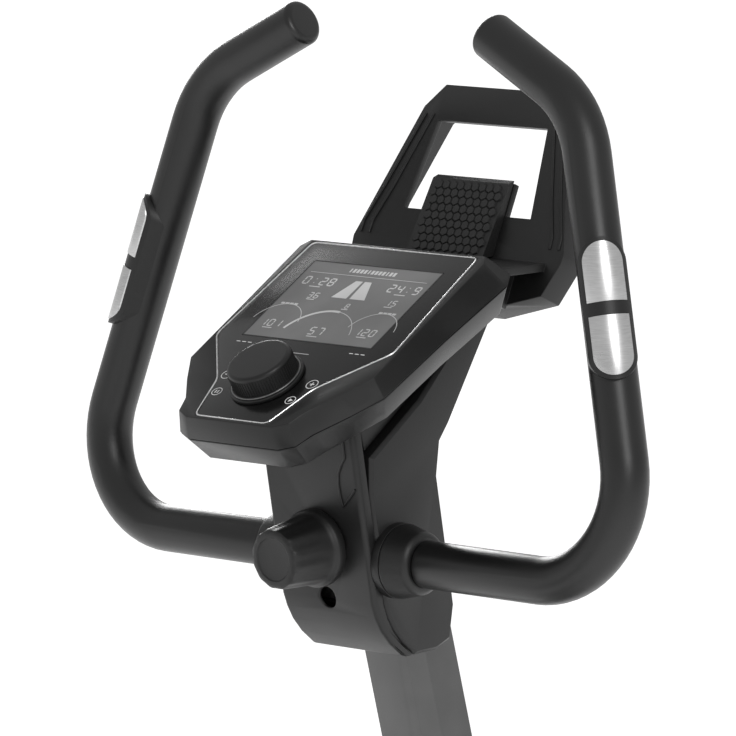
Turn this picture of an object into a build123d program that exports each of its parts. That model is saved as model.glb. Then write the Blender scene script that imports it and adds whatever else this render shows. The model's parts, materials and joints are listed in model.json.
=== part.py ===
"""Upright exercise bike with an upright racing-style handlebar, console and tablet holder.

Millimetres. +Z is up, +Y is ahead of the rider, +X is the rider's right. The origin is on the floor,
in the middle of the base's length and width.
"""

import os
from math import atan2, cos, radians, sin, tan

from build123d import *

os.makedirs("parts", exist_ok=True)

# Overall
base_length = 1040.0
base_width = 564.0
bar_height = 1000.0  # handlebar's cross run above the floor
bar_forward = 170.0  # handlebar's cross run ahead of the middle of the base

# Fits
run_gap = 0.05  # radial, shaft in a bearing or bore
part_gap = 0.3  # between parts of different bodies
seat_gap = 0.02  # radial, parts that are pressed or held together

# Mast and front post
mast_lean = 15.6
mast_ahead = 42.0  # mast axis ahead of the handlebar, at the handlebar's height
mast_width = 60.0
mast_depth = 50.0
mast_corner = 10.0
mast_wall = 2.0
mast_foot_height = 450.0
mast_top_above_bar = 78.0
post_overlap = 110.0
post_wall = 3.0
mast_bolt_radius = 4.0
mast_bolt_pitch = 36.0

# Base
tube_depth = 60.0
tube_height = 50.0
tube_wall = 2.0
tube_floor_gap = 12.0
cap_wall = 4.0
cap_length = 57.0
cap_socket = 25.0
spine_width = 40.0
spine_height = 60.0
spine_wall = 2.5
saddle_plate = 4.0
wheel_radius = 24.0
wheel_width = 18.0
wheel_height = 28.0
wheel_ahead = 36.0  # wheel axle ahead of the front tube's middle
wheel_pin_radius = 4.0
foot_radius = 25.0
foot_disc = 12.0
foot_stud_radius = 5.0
foot_stud = 30.0
base_bolt_radius = 5.0
base_bolt_spread = 33.0

# Drive
crank_forward = 40.0
crank_height = 300.0
crank_length = 170.0
crank_drop = 35.0  # right crank's angle below level, forward
axle_radius = 8.5
bearing_radius = 17.5
bearing_width = 10.0
bearing_middle = 29.0  # bearing's middle from the centre plane
shell_half = 34.0
shell_radius = 23.0
pulley_radius = 120.0
small_pulley_radius = 22.0
pulley_inner = 38.0
pulley_width = 14.0
belt_width = 11.0
belt_thick = 3.5
flywheel_forward = 250.0
flywheel_height = 290.0
flywheel_radius = 115.0
flywheel_rim = 22.0
flywheel_half = 12.0
fork_inner = 26.0
fork_thick = 5.0
fork_foot = 110.0
brake_pivot_angle = 128.0
brake_end_angle = 62.0
brake_gap = 6.0
magnet_thick = 3.2
brake_band = 5.0
brake_pin_radius = 5.0
arm_inner = 78.0  # crank arm's inner face from the centre plane
arm_thick = 16.0
disc_inner = 72.5
disc_thick = 3.0
disc_radius = 88.0

# Pedals
pedal_inner = 100.0
pedal_width = 96.0
pedal_length = 104.0
pedal_thick = 22.0
spindle_radius = 7.0
strap_width = 28.0
strap_thick = 3.0
strap_height = 64.0
strap_forward = 28.0
weight_drop = 18.0

# Housing
housing_half = 70.0
housing_wall = 3.0
housing_floor = 130.0
housing_front_top = 500.0
housing_rear_top = 492.0
tube_margin = 44.0
screw_radius = 4.5

# Seat
seat_lean = 15.5
seat_foot_forward = -70.0
seat_foot_height = 120.0
seat_tube_radius = 30.0
seat_tube_wall = 2.5
seat_tube_top = 456.0  # along the tube's axis, from its foot
seat_post_radius = 25.0
seat_post_wall = 2.5
seat_post_bottom = 70.0
seat_post_top = 626.0
sleeve_length = 120.0
sleeve_flange = 6.0
seat_pin_along = 432.0
seat_pin_radius = 5.0
seat_hole_pitch = 20.0
seat_holes_up = 2
seat_holes_down = 9
rail_width = 44.0
rail_height = 30.0
rail_length = 240.0
rail_wall = 2.5
rail_above_post = 24.0
web_thick = 12.0
web_length = 70.0
carriage_wall = 5.0
carriage_length = 90.0
carriage_slot = 17.0
slide_gap = 0.15
stem_radius = 14.0
stem_height = 34.0
saddle_rear_half = 112.0
saddle_nose_half = 29.0
saddle_length = 274.0
pan_thick = 14.0
cushion_thick = 52.0
cushion_crown = 12.0

# Handlebar: its plane leans forward about the cross run
bar_lean = 7.33
bar_radius = 14.0
bar_wall = 2.0
grip_radius = 17.0
bar_corner_half = 271.5
bar_shoulder_half = 180.4
bar_shoulder_rise = 327.5
bar_end_half = 92.1
bar_end_rise = 373.0
bar_bend = 70.0
bar_top_bend = 75.0
grip_end = 4.0
grip_start = 74.0
collar_inner = 52.0
collar_radius = 27.0
collar_end_radius = 22.5
pulse_low = 141.0
pulse_high = 237.0
pulse_width = 34.0
pulse_base_radius = 20.5
pulse_plate_radius = 21.3
plate_length = 42.0
plate_width = 28.0
pulse_turn = 45.0

# Head
head_half = 46.0
head_wall = 3.0
rear_half = 42.0
rear_depth = 10.0
seam = 0.6
knob_radius = 28.0
knob_end_radius = 21.0
knob_length = 46.0
knob_start = 33.0
knob_height = 8.4
knob_dip = 5.1
knob_shaft_radius = 5.0
screw_hole_radius = 7.5
screw_hole_drop = 28.5
cradle_half = 38.0
clamp_split = 0.4
clamp_height = 56.0
clamp_cap_depth = 17.8
clamp_screw_radius = 3.0
clamp_screw_rise = 21.0
clamp_screw_spread = 28.0
clamp_head_radius = 5.0
clamp_head_height = 3.2

# Console
face_lean = 32.0
face_top_forward = 49.7
face_top_rise = 214.3
console_thick = 38.0
console_split = 16.0
console_wall = 2.5
glass_thick = 2.0
display_width = 124.0
display_height = 88.0
display_top = 22.9
display_thick = 6.0
dial_along = 157.0
dial_base_radius = 28.0
dial_radius = 24.0
dial_height = 19.0
dial_shaft_radius = 4.0
# right halves of outlines on the console's face: across, up the slope
face_edge = [(84, 0), (89, -8), (88.5, -75), (88.5, -141), (74, -163), (58, -184), (53, -198), (41, -204)]
split_edge = [(98, 3), (105, -11), (97, -75), (92, -143), (77, -167), (61, -189), (56, -203), (43, -209)]
back_edge = [(86, -6), (92, -16), (84, -78), (80, -138), (68, -160), (56, -181), (50, -195), (38, -202)]
glass_edge = [(79.4, -3), (85.5, -113.7), (45.9, -160.7), (34.6, -201)]
# side outline: forward of and above the handlebar's cross run
neck_outline = [(-25, 79), (24, 115), (76, 168), (62, 191), (-38, 127), (-35, 112)]

# Tablet holder
holder_lean = 24.0
holder_forward = 112.0
holder_rise = 210.0
holder_depth = 27.0
holder_web = 5.0
holder_rim = 9.0
holder_recess_low = 14.0
# right halves of outlines on the holder's face: across, up the slope
holder_edge = [(46, -44), (92, -30), (101, -6), (102, 2), (91, 38), (70, 104), (55, 121.5)]
window_edge = [(61.3, 26), (52.9, 94)]
tongue_half = 38.0
tongue_top = 51.0
shelf_half = 88.0
# side outlines: forward of and above the handlebar's cross run
shelf_outline = [(62.5, 199), (112, 199), (112, 205), (62.5, 205)]
wedge_outline = [(70, 200), (78, 180), (96, 171), (114, 200)]
pad_outline = [(98.6, 206), (127.7, 256.7), (133.0, 258.6), (109.9, 206)]
pad_half = 37.0


def side_plane(x):
    """A plane square to X, on which local x is forward and local y is up."""
    return Plane.YZ.offset(x)


def leaning_plane(forward, height, lean, along):
    """A plane square to an axis that leans back by lean, at a distance along that axis."""
    up = Vector(0, -sin(radians(lean)), cos(radians(lean)))
    return Plane(origin=Vector(0, forward, height) + up * along, x_dir=(1, 0, 0), z_dir=up)


def mast_plane(along):
    """Square to the mast's axis; zero is level with the handlebar."""
    return leaning_plane(bar_forward + mast_ahead, bar_height, mast_lean, along)


def mast_along(height):
    """Distance along the mast's axis at a height above the floor."""
    return (height - bar_height) / cos(radians(mast_lean))


def seat_plane(along):
    """Square to the seat tube's axis; zero is at the tube's foot."""
    return leaning_plane(seat_foot_forward, seat_foot_height, seat_lean, along)


def seat_along(height):
    """Distance along the seat tube's axis at a height above the floor."""
    return (height - seat_foot_height) / cos(radians(seat_lean))


def from_bar(points):
    """Forward and up distances from the handlebar's cross run, in the part's frame."""
    return [(bar_forward + forward, bar_height + up) for forward, up in points]


def face_plane(depth=0.0):
    """The console's face: local x across, local y up the slope, origin at its top edge."""
    lean = radians(face_lean)
    normal = Vector(0, -sin(lean), cos(lean))
    top = Vector(0, bar_forward + face_top_forward, bar_height + face_top_rise)
    return Plane(origin=top - normal * depth, x_dir=(1, 0, 0), z_dir=normal)


def holder_plane(depth=0.0):
    """The tablet holder's face: local x across, local y up the slope."""
    lean = radians(holder_lean)
    normal = Vector(0, -cos(lean), sin(lean))
    foot = Vector(0, bar_forward + holder_forward, bar_height + holder_rise)
    return Plane(origin=foot - normal * depth, x_dir=(1, 0, 0), z_dir=normal)


def both_sides(points):
    """An outline's right half followed by its mirror image, as one closed ring of points."""
    return points + [(-across, up) for across, up in reversed(points)]


def keep(part, name):
    """Label a finished piece and write its file."""
    part.label = name
    export_step(part, f"parts/{name}.step")


def mast_section(grow=0.0):
    """The mast's eight-sided outline, grown by a distance."""
    with BuildSketch(Plane.XY) as outline:
        Rectangle(mast_width + 2 * grow, mast_depth + 2 * grow)
        chamfer(outline.vertices(), mast_corner + grow * (2 - 2**0.5))
    return outline.sketch

# Base -----------------------------------------------------------------------------------------------

rear_tube_forward = -base_length / 2 + tube_depth / 2 + cap_wall
front_tube_forward = base_length / 2 - wheel_radius - wheel_ahead
tube_middle = tube_floor_gap + tube_height / 2
tube_top = tube_floor_gap + tube_height
spine_bottom = tube_top + saddle_plate
spine_top = spine_bottom + spine_height
cap_outer = base_width / 2
tube_half = cap_outer - cap_length + cap_socket
wheel_forward = front_tube_forward + wheel_ahead
cap_top = tube_top + cap_wall
wheel_across = (tube_half + cap_outer) / 2


def rounded_bar(width, height, corner, plane, length):
    """A straight bar of rounded rectangular section, from a plane along its normal."""
    with BuildPart() as bar:
        with BuildSketch(plane) as section:
            Rectangle(width, height)
            fillet(section.vertices(), corner)
        extrude(amount=length)
    return bar.part


def across_plane(x, forward, height):
    """A plane square to X at a point: local x is forward and local y is up."""
    return Plane(origin=(x, forward, height), x_dir=(0, 1, 0), z_dir=(1, 0, 0))


def disc(radius, x_from, x_to, forward, height, mode=Mode.ADD):
    """A cylinder along X between two places, centred on a point of the side view."""
    with Locations(across_plane((x_from + x_to) / 2, forward, height)):
        Cylinder(radius, x_to - x_from, mode=mode)


def stabilizer(forward):
    """A rounded rectangular tube across the base, drilled for two bolts."""
    end = across_plane(-tube_half, forward, tube_middle)
    with BuildPart() as tube:
        add(rounded_bar(tube_depth, tube_height, 12, end, 2 * tube_half))
        inner_depth = tube_depth - 2 * tube_wall
        inner_height = tube_height - 2 * tube_wall
        bore = rounded_bar(inner_depth, inner_height, 12 - tube_wall, end, 2 * tube_half)
        add(bore, mode=Mode.SUBTRACT)
        with Locations(*[(side * base_bolt_spread, forward, tube_middle) for side in (-1, 1)]):
            Cylinder(base_bolt_radius + seat_gap, 2 * tube_height, mode=Mode.SUBTRACT)
    return tube.part


keep(stabilizer(front_tube_forward), "front_stabilizer")
keep(stabilizer(rear_tube_forward), "rear_stabilizer")


def end_cap(forward, bottom):
    """The right-hand moulded cap over a base tube's end, standing on its own bottom face."""
    inner = cap_outer - cap_length
    height = cap_top - bottom
    middle = across_plane(inner, forward, (cap_top + bottom) / 2)
    socket = across_plane(inner, forward, tube_middle)
    with BuildPart() as cap:
        add(rounded_bar(tube_depth + 2 * cap_wall, height, 13, middle, cap_length))
        fillet(cap.faces().sort_by(Axis.X)[-1].edges(), 8)
        socket_size = (tube_depth + seat_gap, tube_height + seat_gap)
        add(rounded_bar(*socket_size, 12, socket, cap_socket + seat_gap), mode=Mode.SUBTRACT)
    return cap.part


with BuildPart() as front_end_caps:
    add(end_cap(front_tube_forward, 0))
    slot_inner = wheel_across - wheel_width / 2 - 1
    with BuildSketch(side_plane(slot_inner - 4)):
        with Locations((wheel_forward, wheel_height)):
            Circle(13)
        with Locations((wheel_forward - 26, wheel_height)):
            Rectangle(20, 36)
        make_hull()
    extrude(amount=wheel_width + 10)
    slot_outer = slot_inner + wheel_width + 2
    disc(wheel_radius + 2, slot_inner, slot_outer, wheel_forward, wheel_height, Mode.SUBTRACT)
    disc(wheel_pin_radius + seat_gap, tube_half, base_width, wheel_forward, wheel_height, Mode.SUBTRACT)
    mirror(about=Plane.YZ)
keep(front_end_caps.part, "front_end_caps")

with BuildPart() as wheel_axles:
    disc(wheel_pin_radius, slot_inner - 3.5, slot_inner + wheel_width + 5.5, wheel_forward, wheel_height)
    mirror(about=Plane.YZ)
keep(wheel_axles.part, "wheel_axles")

with BuildPart() as transport_wheel_right:
    with BuildSketch(Plane(origin=(0, wheel_forward, wheel_height), x_dir=(1, 0, 0), z_dir=(0, -1, 0))):
        with BuildLine():
            low = slot_inner + 1
            high = low + wheel_width
            bore = wheel_pin_radius + run_gap
            Polyline(
                (low, bore), (high, bore), (high, 10), (high - 4, 12), (high - 4, 17), (high, 19),
                (high, wheel_radius - 2), (high - 2, wheel_radius), (low + 2, wheel_radius),
                (low, wheel_radius - 2), (low, 19), (low + 4, 17), (low + 4, 12), (low, 10), (low, bore),
            )
        make_face()
    revolve(axis=Axis((0, wheel_forward, wheel_height), (1, 0, 0)))
keep(transport_wheel_right.part, "transport_wheel_right")
keep(mirror(transport_wheel_right.part, about=Plane.YZ), "transport_wheel_left")

with BuildPart() as rear_end_caps:
    add(end_cap(rear_tube_forward, foot_disc + part_gap))
    with Locations((wheel_across, rear_tube_forward, foot_disc + foot_stud / 2)):
        Cylinder(foot_stud_radius + run_gap, foot_stud + 2, mode=Mode.SUBTRACT)
    mirror(about=Plane.YZ)
keep(rear_end_caps.part, "rear_end_caps")

with BuildPart() as levelling_foot_right:
    with Locations((wheel_across, rear_tube_forward, 0)):
        Cylinder(foot_radius, foot_disc, align=(Align.CENTER, Align.CENTER, Align.MIN))
        Cylinder(foot_stud_radius, foot_disc + foot_stud, align=(Align.CENTER, Align.CENTER, Align.MIN))
    fillet(levelling_foot_right.faces().sort_by(Axis.Z)[0].edges(), 2)
keep(levelling_foot_right.part, "levelling_foot_right")
keep(mirror(levelling_foot_right.part, about=Plane.YZ), "levelling_foot_left")

with BuildPart() as stabilizer_bolts:
    bolt_top = spine_bottom
    with Locations(*[
        (side * base_bolt_spread, forward, bolt_top)
        for side in (-1, 1)
        for forward in (front_tube_forward, rear_tube_forward)
    ]):
        Cylinder(base_bolt_radius, bolt_top - 4, align=(Align.CENTER, Align.CENTER, Align.MAX))
        Cone(9, 6, 5, align=(Align.CENTER, Align.CENTER, Align.MIN))
    with Locations(*[
        (side * base_bolt_spread, forward, tube_floor_gap)
        for side in (-1, 1)
        for forward in (front_tube_forward, rear_tube_forward)
    ]):
        Cylinder(8.5, 6.5, align=(Align.CENTER, Align.CENTER, Align.MAX))
keep(stabilizer_bolts.part, "stabilizer_bolts")

# Frame ----------------------------------------------------------------------------------------------

fork_outer = fork_inner + fork_thick
pivot_radius = flywheel_radius + brake_gap + 8
pivot_forward = flywheel_forward + pivot_radius * cos(radians(brake_pivot_angle))
pivot_height = flywheel_height + pivot_radius * sin(radians(brake_pivot_angle))
post_foot = mast_along(spine_bottom + 10)
mast_foot = mast_along(mast_foot_height)
post_top = mast_foot + post_overlap
mast_bolt_low = post_top - mast_bolt_pitch - 14
spine_length = front_tube_forward - rear_tube_forward + tube_depth
spine_middle = (front_tube_forward + rear_tube_forward) / 2
spine_centre = (spine_top + spine_bottom) / 2

with BuildPart() as main_frame:
    with Locations((0, spine_middle, spine_centre)):
        Box(spine_width, spine_length, spine_height)
    fillet(main_frame.edges().filter_by(Axis.Y), 8)
    # front post
    with BuildSketch(mast_plane(post_foot)):
        add(mast_section(-mast_wall - seat_gap))
    extrude(amount=post_top - post_foot)
    # seat tube
    with BuildSketch(seat_plane(seat_along(spine_centre))):
        Circle(seat_tube_radius)
    extrude(amount=seat_tube_top - seat_along(spine_centre))
    # crank shell, its strut and its tie to the seat tube
    disc(shell_radius, -shell_half, shell_half, crank_forward, crank_height)
    with Locations((0, crank_forward, (crank_height + spine_centre) / 2)):
        Box(30, 40, crank_height - spine_centre)
    tie_rear = seat_foot_forward - (crank_height - seat_foot_height) * tan(radians(seat_lean))
    with Locations((0, (crank_forward + tie_rear) / 2, crank_height)):
        Box(30, crank_forward - tie_rear, 34)
    # flywheel fork and brake pivot pin
    with BuildSketch(side_plane(fork_inner)):
        with Locations((flywheel_forward, flywheel_height)):
            Circle(32)
        with Locations((flywheel_forward, spine_top - 8)):
            Rectangle(fork_foot, 16)
        make_hull()
    extrude(amount=fork_thick)
    with BuildSketch(side_plane(fork_inner)):
        with Locations((flywheel_forward, flywheel_height)):
            Circle(24)
        with Locations((pivot_forward, pivot_height)):
            Circle(14)
        make_hull()
    extrude(amount=fork_thick)
    disc(shell_radius, fork_inner - 2, shell_half, flywheel_forward, flywheel_height)
    with Locations((spine_width / 2 + 4, flywheel_forward, spine_top - 8)):
        Box(14, fork_foot, 16)
    mirror(about=Plane.YZ)
    disc(brake_pin_radius, -fork_inner - 1, fork_inner + 1, pivot_forward, pivot_height)
    # plates that sit on the base tubes
    plate_middle = spine_bottom - saddle_plate / 2
    with Locations((0, front_tube_forward, plate_middle), (0, rear_tube_forward, plate_middle)):
        Box(2 * base_bolt_spread + 26, tube_depth, saddle_plate)
    # boss for the seat pin, behind the seat tube
    pin_plane = Plane(
        origin=seat_plane(seat_pin_along).origin, x_dir=(1, 0, 0), z_dir=-seat_plane(0).y_dir,
    )
    with BuildSketch(pin_plane):
        Circle(13)
    extrude(amount=seat_tube_radius + 24)
    # hollows
    with Locations((0, spine_middle, spine_centre)):
        Box(
            spine_width - 2 * spine_wall, spine_length - 2 * spine_wall, spine_height - 2 * spine_wall,
            mode=Mode.SUBTRACT,
        )
    with BuildSketch(mast_plane(mast_along(spine_top + 12))):
        add(mast_section(-mast_wall - seat_gap - post_wall))
    extrude(amount=post_top - mast_along(spine_top + 12), mode=Mode.SUBTRACT)
    with BuildSketch(seat_plane(seat_along(spine_top + 12))):
        Circle(seat_tube_radius - seat_tube_wall)
    extrude(amount=seat_tube_top - seat_along(spine_top + 12), mode=Mode.SUBTRACT)
    with Locations((0, crank_forward, (crank_height + spine_centre) / 2)):
        Box(24, 34, crank_height - spine_centre - 60, mode=Mode.SUBTRACT)
    disc(axle_radius + 3, -shell_half, shell_half, crank_forward, crank_height, Mode.SUBTRACT)
    seat_inner = bearing_middle - bearing_width / 2
    for forward, height in ((crank_forward, crank_height), (flywheel_forward, flywheel_height)):
        for side in (-1, 1):
            from_x = side * seat_inner
            to_x = side * (shell_half + 4)
            disc(bearing_radius, min(from_x, to_x), max(from_x, to_x), forward, height, Mode.SUBTRACT)
    with Locations(*[
        (side * base_bolt_spread, forward, spine_bottom)
        for side in (-1, 1)
        for forward in (front_tube_forward, rear_tube_forward)
    ]):
        Cylinder(base_bolt_radius + seat_gap, 20, mode=Mode.SUBTRACT)
    with BuildSketch(pin_plane):
        Circle(seat_pin_radius + run_gap)
    extrude(amount=seat_tube_radius + 40, mode=Mode.SUBTRACT)
    for step in (0, 1):
        with Locations(mast_plane(mast_bolt_low + step * mast_bolt_pitch)):
            Cylinder(
                mast_bolt_radius + seat_gap, 2 * mast_depth, rotation=(90, 0, 0), mode=Mode.SUBTRACT
            )
keep(main_frame.part, "main_frame")

# Mast -----------------------------------------------------------------------------------------------

mast_top = mast_along(bar_height + mast_top_above_bar)

with BuildPart() as mast:
    with BuildSketch(mast_plane(mast_foot)):
        add(mast_section())
        add(mast_section(-mast_wall), mode=Mode.SUBTRACT)
    extrude(amount=mast_top - mast_foot)
    for step in (0, 1):
        with Locations(mast_plane(mast_bolt_low + step * mast_bolt_pitch)):
            Cylinder(
                mast_bolt_radius + seat_gap, 2 * mast_depth, rotation=(90, 0, 0), mode=Mode.SUBTRACT
            )

with BuildPart() as mast_bolts:
    for step in (0, 1):
        middle = mast_plane(mast_bolt_low + step * mast_bolt_pitch)
        with Locations(middle):
            Cylinder(mast_bolt_radius, mast_depth + 16, rotation=(90, 0, 0))
        with BuildSketch(Plane(origin=middle.origin + middle.y_dir * mast_depth / 2, z_dir=middle.y_dir)):
            RegularPolygon(7, 6)
        extrude(amount=5)
        with BuildSketch(Plane(origin=middle.origin - middle.y_dir * mast_depth / 2, z_dir=-middle.y_dir)):
            RegularPolygon(7, 6)
        extrude(amount=6)
keep(mast_bolts.part, "mast_bolts")

housing_mast_top = mast_along(housing_front_top)
collar_height = post_top + 12 - housing_mast_top

with BuildPart() as mast_collar:
    with BuildSketch(mast_plane(housing_mast_top + part_gap)):
        add(mast_section(14))
    with BuildSketch(mast_plane(housing_mast_top + collar_height)):
        add(mast_section(9.5))
    loft()
    with BuildSketch(mast_plane(housing_mast_top)):
        add(mast_section(11.5))
    with BuildSketch(mast_plane(housing_mast_top + collar_height - 6)):
        add(mast_section(7.3))
    loft(mode=Mode.SUBTRACT)
    with BuildSketch(mast_plane(housing_mast_top)):
        add(mast_section(0.5))
    extrude(amount=2 * collar_height, mode=Mode.SUBTRACT)
keep(mast_collar.part, "mast_collar")

keep(mast.part, "mast")

# Drive ----------------------------------------------------------------------------------------------

with BuildPart() as ball_bearings:
    for forward, height in ((crank_forward, crank_height), (flywheel_forward, flywheel_height)):
        for side in (-1, 1):
            near = side * bearing_middle - bearing_width / 2
            far = near + bearing_width
            disc(bearing_radius - seat_gap, near, far, forward, height)
            disc(axle_radius + run_gap, near - 1, far + 1, forward, height, Mode.SUBTRACT)
keep(ball_bearings.part, "ball_bearings")

axle_end = arm_inner + arm_thick - 3

with BuildPart() as crank_axle:
    disc(axle_radius, -axle_end, axle_end, crank_forward, crank_height)
    disc(27, shell_half + 0.6, pulley_inner, crank_forward, crank_height)
keep(crank_axle.part, "crank_axle")

pulley_outer = pulley_inner + pulley_width
pulley_middle = pulley_inner + pulley_width / 2

with BuildPart() as drive_pulley:
    disc(pulley_radius, pulley_inner, pulley_outer, crank_forward, crank_height)
    disc(pulley_radius - 10, pulley_inner, pulley_middle - 2.5, crank_forward, crank_height, Mode.SUBTRACT)
    disc(pulley_radius - 10, pulley_middle + 2.5, pulley_outer, crank_forward, crank_height, Mode.SUBTRACT)
    disc(26, pulley_inner, pulley_outer, crank_forward, crank_height)
    with Locations(across_plane(pulley_middle, crank_forward, crank_height)):
        with PolarLocations(68, 6):
            Cylinder(22, pulley_width, mode=Mode.SUBTRACT)
    disc(axle_radius + seat_gap, 0, pulley_outer + 1, crank_forward, crank_height, Mode.SUBTRACT)
keep(drive_pulley.part, "drive_pulley")


def belt_outline(grow):
    """The loop round both pulleys, a distance outside them, as a side-view face."""
    with BuildSketch(side_plane(pulley_middle - belt_width / 2)) as loop:
        with Locations((crank_forward, crank_height)):
            Circle(pulley_radius + grow)
        with Locations((flywheel_forward, flywheel_height)):
            Circle(small_pulley_radius + grow)
        make_hull()
    return loop.sketch


with BuildPart() as drive_belt:
    extrude(belt_outline(part_gap + belt_thick), amount=belt_width)
    extrude(belt_outline(part_gap), amount=belt_width, mode=Mode.SUBTRACT)
keep(drive_belt.part, "drive_belt")

with BuildPart() as flywheel:
    disc(flywheel_radius, -flywheel_half, flywheel_half, flywheel_forward, flywheel_height)
    for near, far in ((-flywheel_half, -4), (4, flywheel_half)):
        disc(flywheel_radius - flywheel_rim, near, far, flywheel_forward, flywheel_height, Mode.SUBTRACT)
    disc(24, -18, 18, flywheel_forward, flywheel_height)
    disc(axle_radius + seat_gap, -20, 20, flywheel_forward, flywheel_height, Mode.SUBTRACT)
keep(flywheel.part, "flywheel")

with BuildPart() as flywheel_axle:
    disc(axle_radius, -shell_half - 3, pulley_outer + 4, flywheel_forward, flywheel_height)
    disc(small_pulley_radius, pulley_inner, pulley_outer, flywheel_forward, flywheel_height)
keep(flywheel_axle.part, "flywheel_axle")

band_inner = flywheel_radius + brake_gap


with BuildPart() as brake_arm:
    with BuildSketch(across_plane(0, flywheel_forward, flywheel_height)):
        Circle(band_inner + brake_band)
        Circle(band_inner, mode=Mode.SUBTRACT)
        with BuildLine():
            far = 2 * flywheel_radius
            start = radians(brake_end_angle)
            end = radians(brake_pivot_angle)
            Polyline(
                (0, 0), (far * cos(start), far * sin(start)), (0, far), (far * cos(end), far * sin(end)),
                (0, 0),
            )
        make_face(mode=Mode.INTERSECT)
    extrude(amount=flywheel_half + 3, both=True)
    disc(11, -flywheel_half - 6, flywheel_half + 6, pivot_forward, pivot_height)
    disc(band_inner, -60, 60, flywheel_forward, flywheel_height, Mode.SUBTRACT)
    disc(brake_pin_radius + run_gap, -60, 60, pivot_forward, pivot_height, Mode.SUBTRACT)
keep(brake_arm.part, "brake_arm")

with BuildPart() as brake_magnets:
    for turn in (70, 84, 98, 112):
        reach = band_inner - magnet_thick / 2 - 0.5
        place = Plane(
            origin=(
                0,
                flywheel_forward + reach * cos(radians(turn)),
                flywheel_height + reach * sin(radians(turn)),
            ),
            x_dir=(1, 0, 0),
            z_dir=(0, cos(radians(turn)), sin(radians(turn))),
        )
        with Locations(place):
            Box(2 * flywheel_half, 22, magnet_thick)
keep(brake_magnets.part, "brake_magnets")

with BuildPart() as brake_motor:
    motor_forward = (flywheel_forward + pivot_forward) / 2
    motor_height = (flywheel_height + pivot_height) / 2
    with Locations((-fork_outer - 11, motor_forward, motor_height)):
        Box(22, 44, 44)
    fillet(brake_motor.edges().filter_by(Axis.X), 6)
    disc(6, -fork_outer - 28, -fork_outer - 22, motor_forward + 10, motor_height + 10)
keep(brake_motor.part, "brake_motor")

# Cranks and pedals ----------------------------------------------------------------------------------

arm_outer = arm_inner + arm_thick
pedal_forward = crank_forward + crank_length * cos(radians(crank_drop))
pedal_height = crank_height - crank_length * sin(radians(crank_drop))
pedal_outer = pedal_inner + pedal_width


def across_crank(part):
    """The same piece on the left crank: half a turn about the crank's axis and mirrored across."""
    turned = part.rotate(Axis((0, crank_forward, crank_height), (1, 0, 0)), 180)
    return mirror(turned, about=Plane.YZ)


def across_pedal(part):
    """The left pedal's copy of a right pedal's piece, kept upright."""
    back = 2 * (crank_forward - pedal_forward)
    up = 2 * (crank_height - pedal_height)
    return mirror(part.moved(Location((0, back, up))), about=Plane.YZ)


with BuildPart() as crank_arm_right:
    with BuildSketch(side_plane(arm_inner)):
        with Locations((crank_forward, crank_height)):
            Circle(19)
        with Locations((pedal_forward, pedal_height)):
            Circle(13.5)
        make_hull()
    extrude(amount=arm_thick)
    fillet(crank_arm_right.faces().sort_by(Axis.X)[-1].edges(), 4)
    disc(22, disc_inner + disc_thick, arm_inner + 4, crank_forward, crank_height)
    disc(axle_radius + seat_gap, 0, axle_end + 0.5, crank_forward, crank_height, Mode.SUBTRACT)
    disc(7, 0, arm_outer + 1, crank_forward, crank_height, Mode.SUBTRACT)
    disc(spindle_radius + seat_gap, 0, arm_outer + 1, pedal_forward, pedal_height, Mode.SUBTRACT)
keep(crank_arm_right.part, "crank_arm_right")
keep(across_crank(crank_arm_right.part), "crank_arm_left")

with BuildPart() as crank_discs:
    disc(disc_radius, disc_inner, disc_inner + disc_thick, crank_forward, crank_height)
    fillet(crank_discs.faces().sort_by(Axis.X)[-1].edges(), 1.5)
    disc(axle_radius + seat_gap, 0, axle_end, crank_forward, crank_height, Mode.SUBTRACT)
    mirror(about=Plane.YZ)
keep(crank_discs.part, "crank_discs")

with BuildPart() as right_spindle:
    disc(spindle_radius, arm_inner + 1, pedal_outer - 8, pedal_forward, pedal_height)
    disc(10, arm_outer, pedal_inner - 1, pedal_forward, pedal_height)
with BuildPart() as pedal_spindles:
    add(right_spindle.part)
    add(across_crank(right_spindle.part))
keep(pedal_spindles.part, "pedal_spindles")

with BuildPart() as pedal_right:
    pedal_middle = (pedal_inner + pedal_outer) / 2
    with Locations((pedal_middle, pedal_forward, pedal_height)):
        Box(pedal_width, pedal_length, pedal_thick)
    fillet(pedal_right.edges().filter_by(Axis.Z), 16)
    fillet(pedal_right.edges().filter_by(Axis.Z, reverse=True).group_by(Axis.Z)[-1], 2)
    with Locations(*[(pedal_middle, pedal_forward + side * 33, pedal_height) for side in (-1, 1)]):
        Box(pedal_width - 26, 22, pedal_thick, mode=Mode.SUBTRACT)
    with Locations((pedal_middle, pedal_forward, pedal_height - pedal_thick / 2)):
        Box(66, 62, 2 * weight_drop, align=(Align.CENTER, Align.CENTER, Align.CENTER))
    bore_radius = spindle_radius + run_gap
    disc(bore_radius, pedal_inner - 1, pedal_outer - 7, pedal_forward, pedal_height, Mode.SUBTRACT)
keep(pedal_right.part, "pedal_right")
keep(across_pedal(pedal_right.part), "pedal_left")

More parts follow.
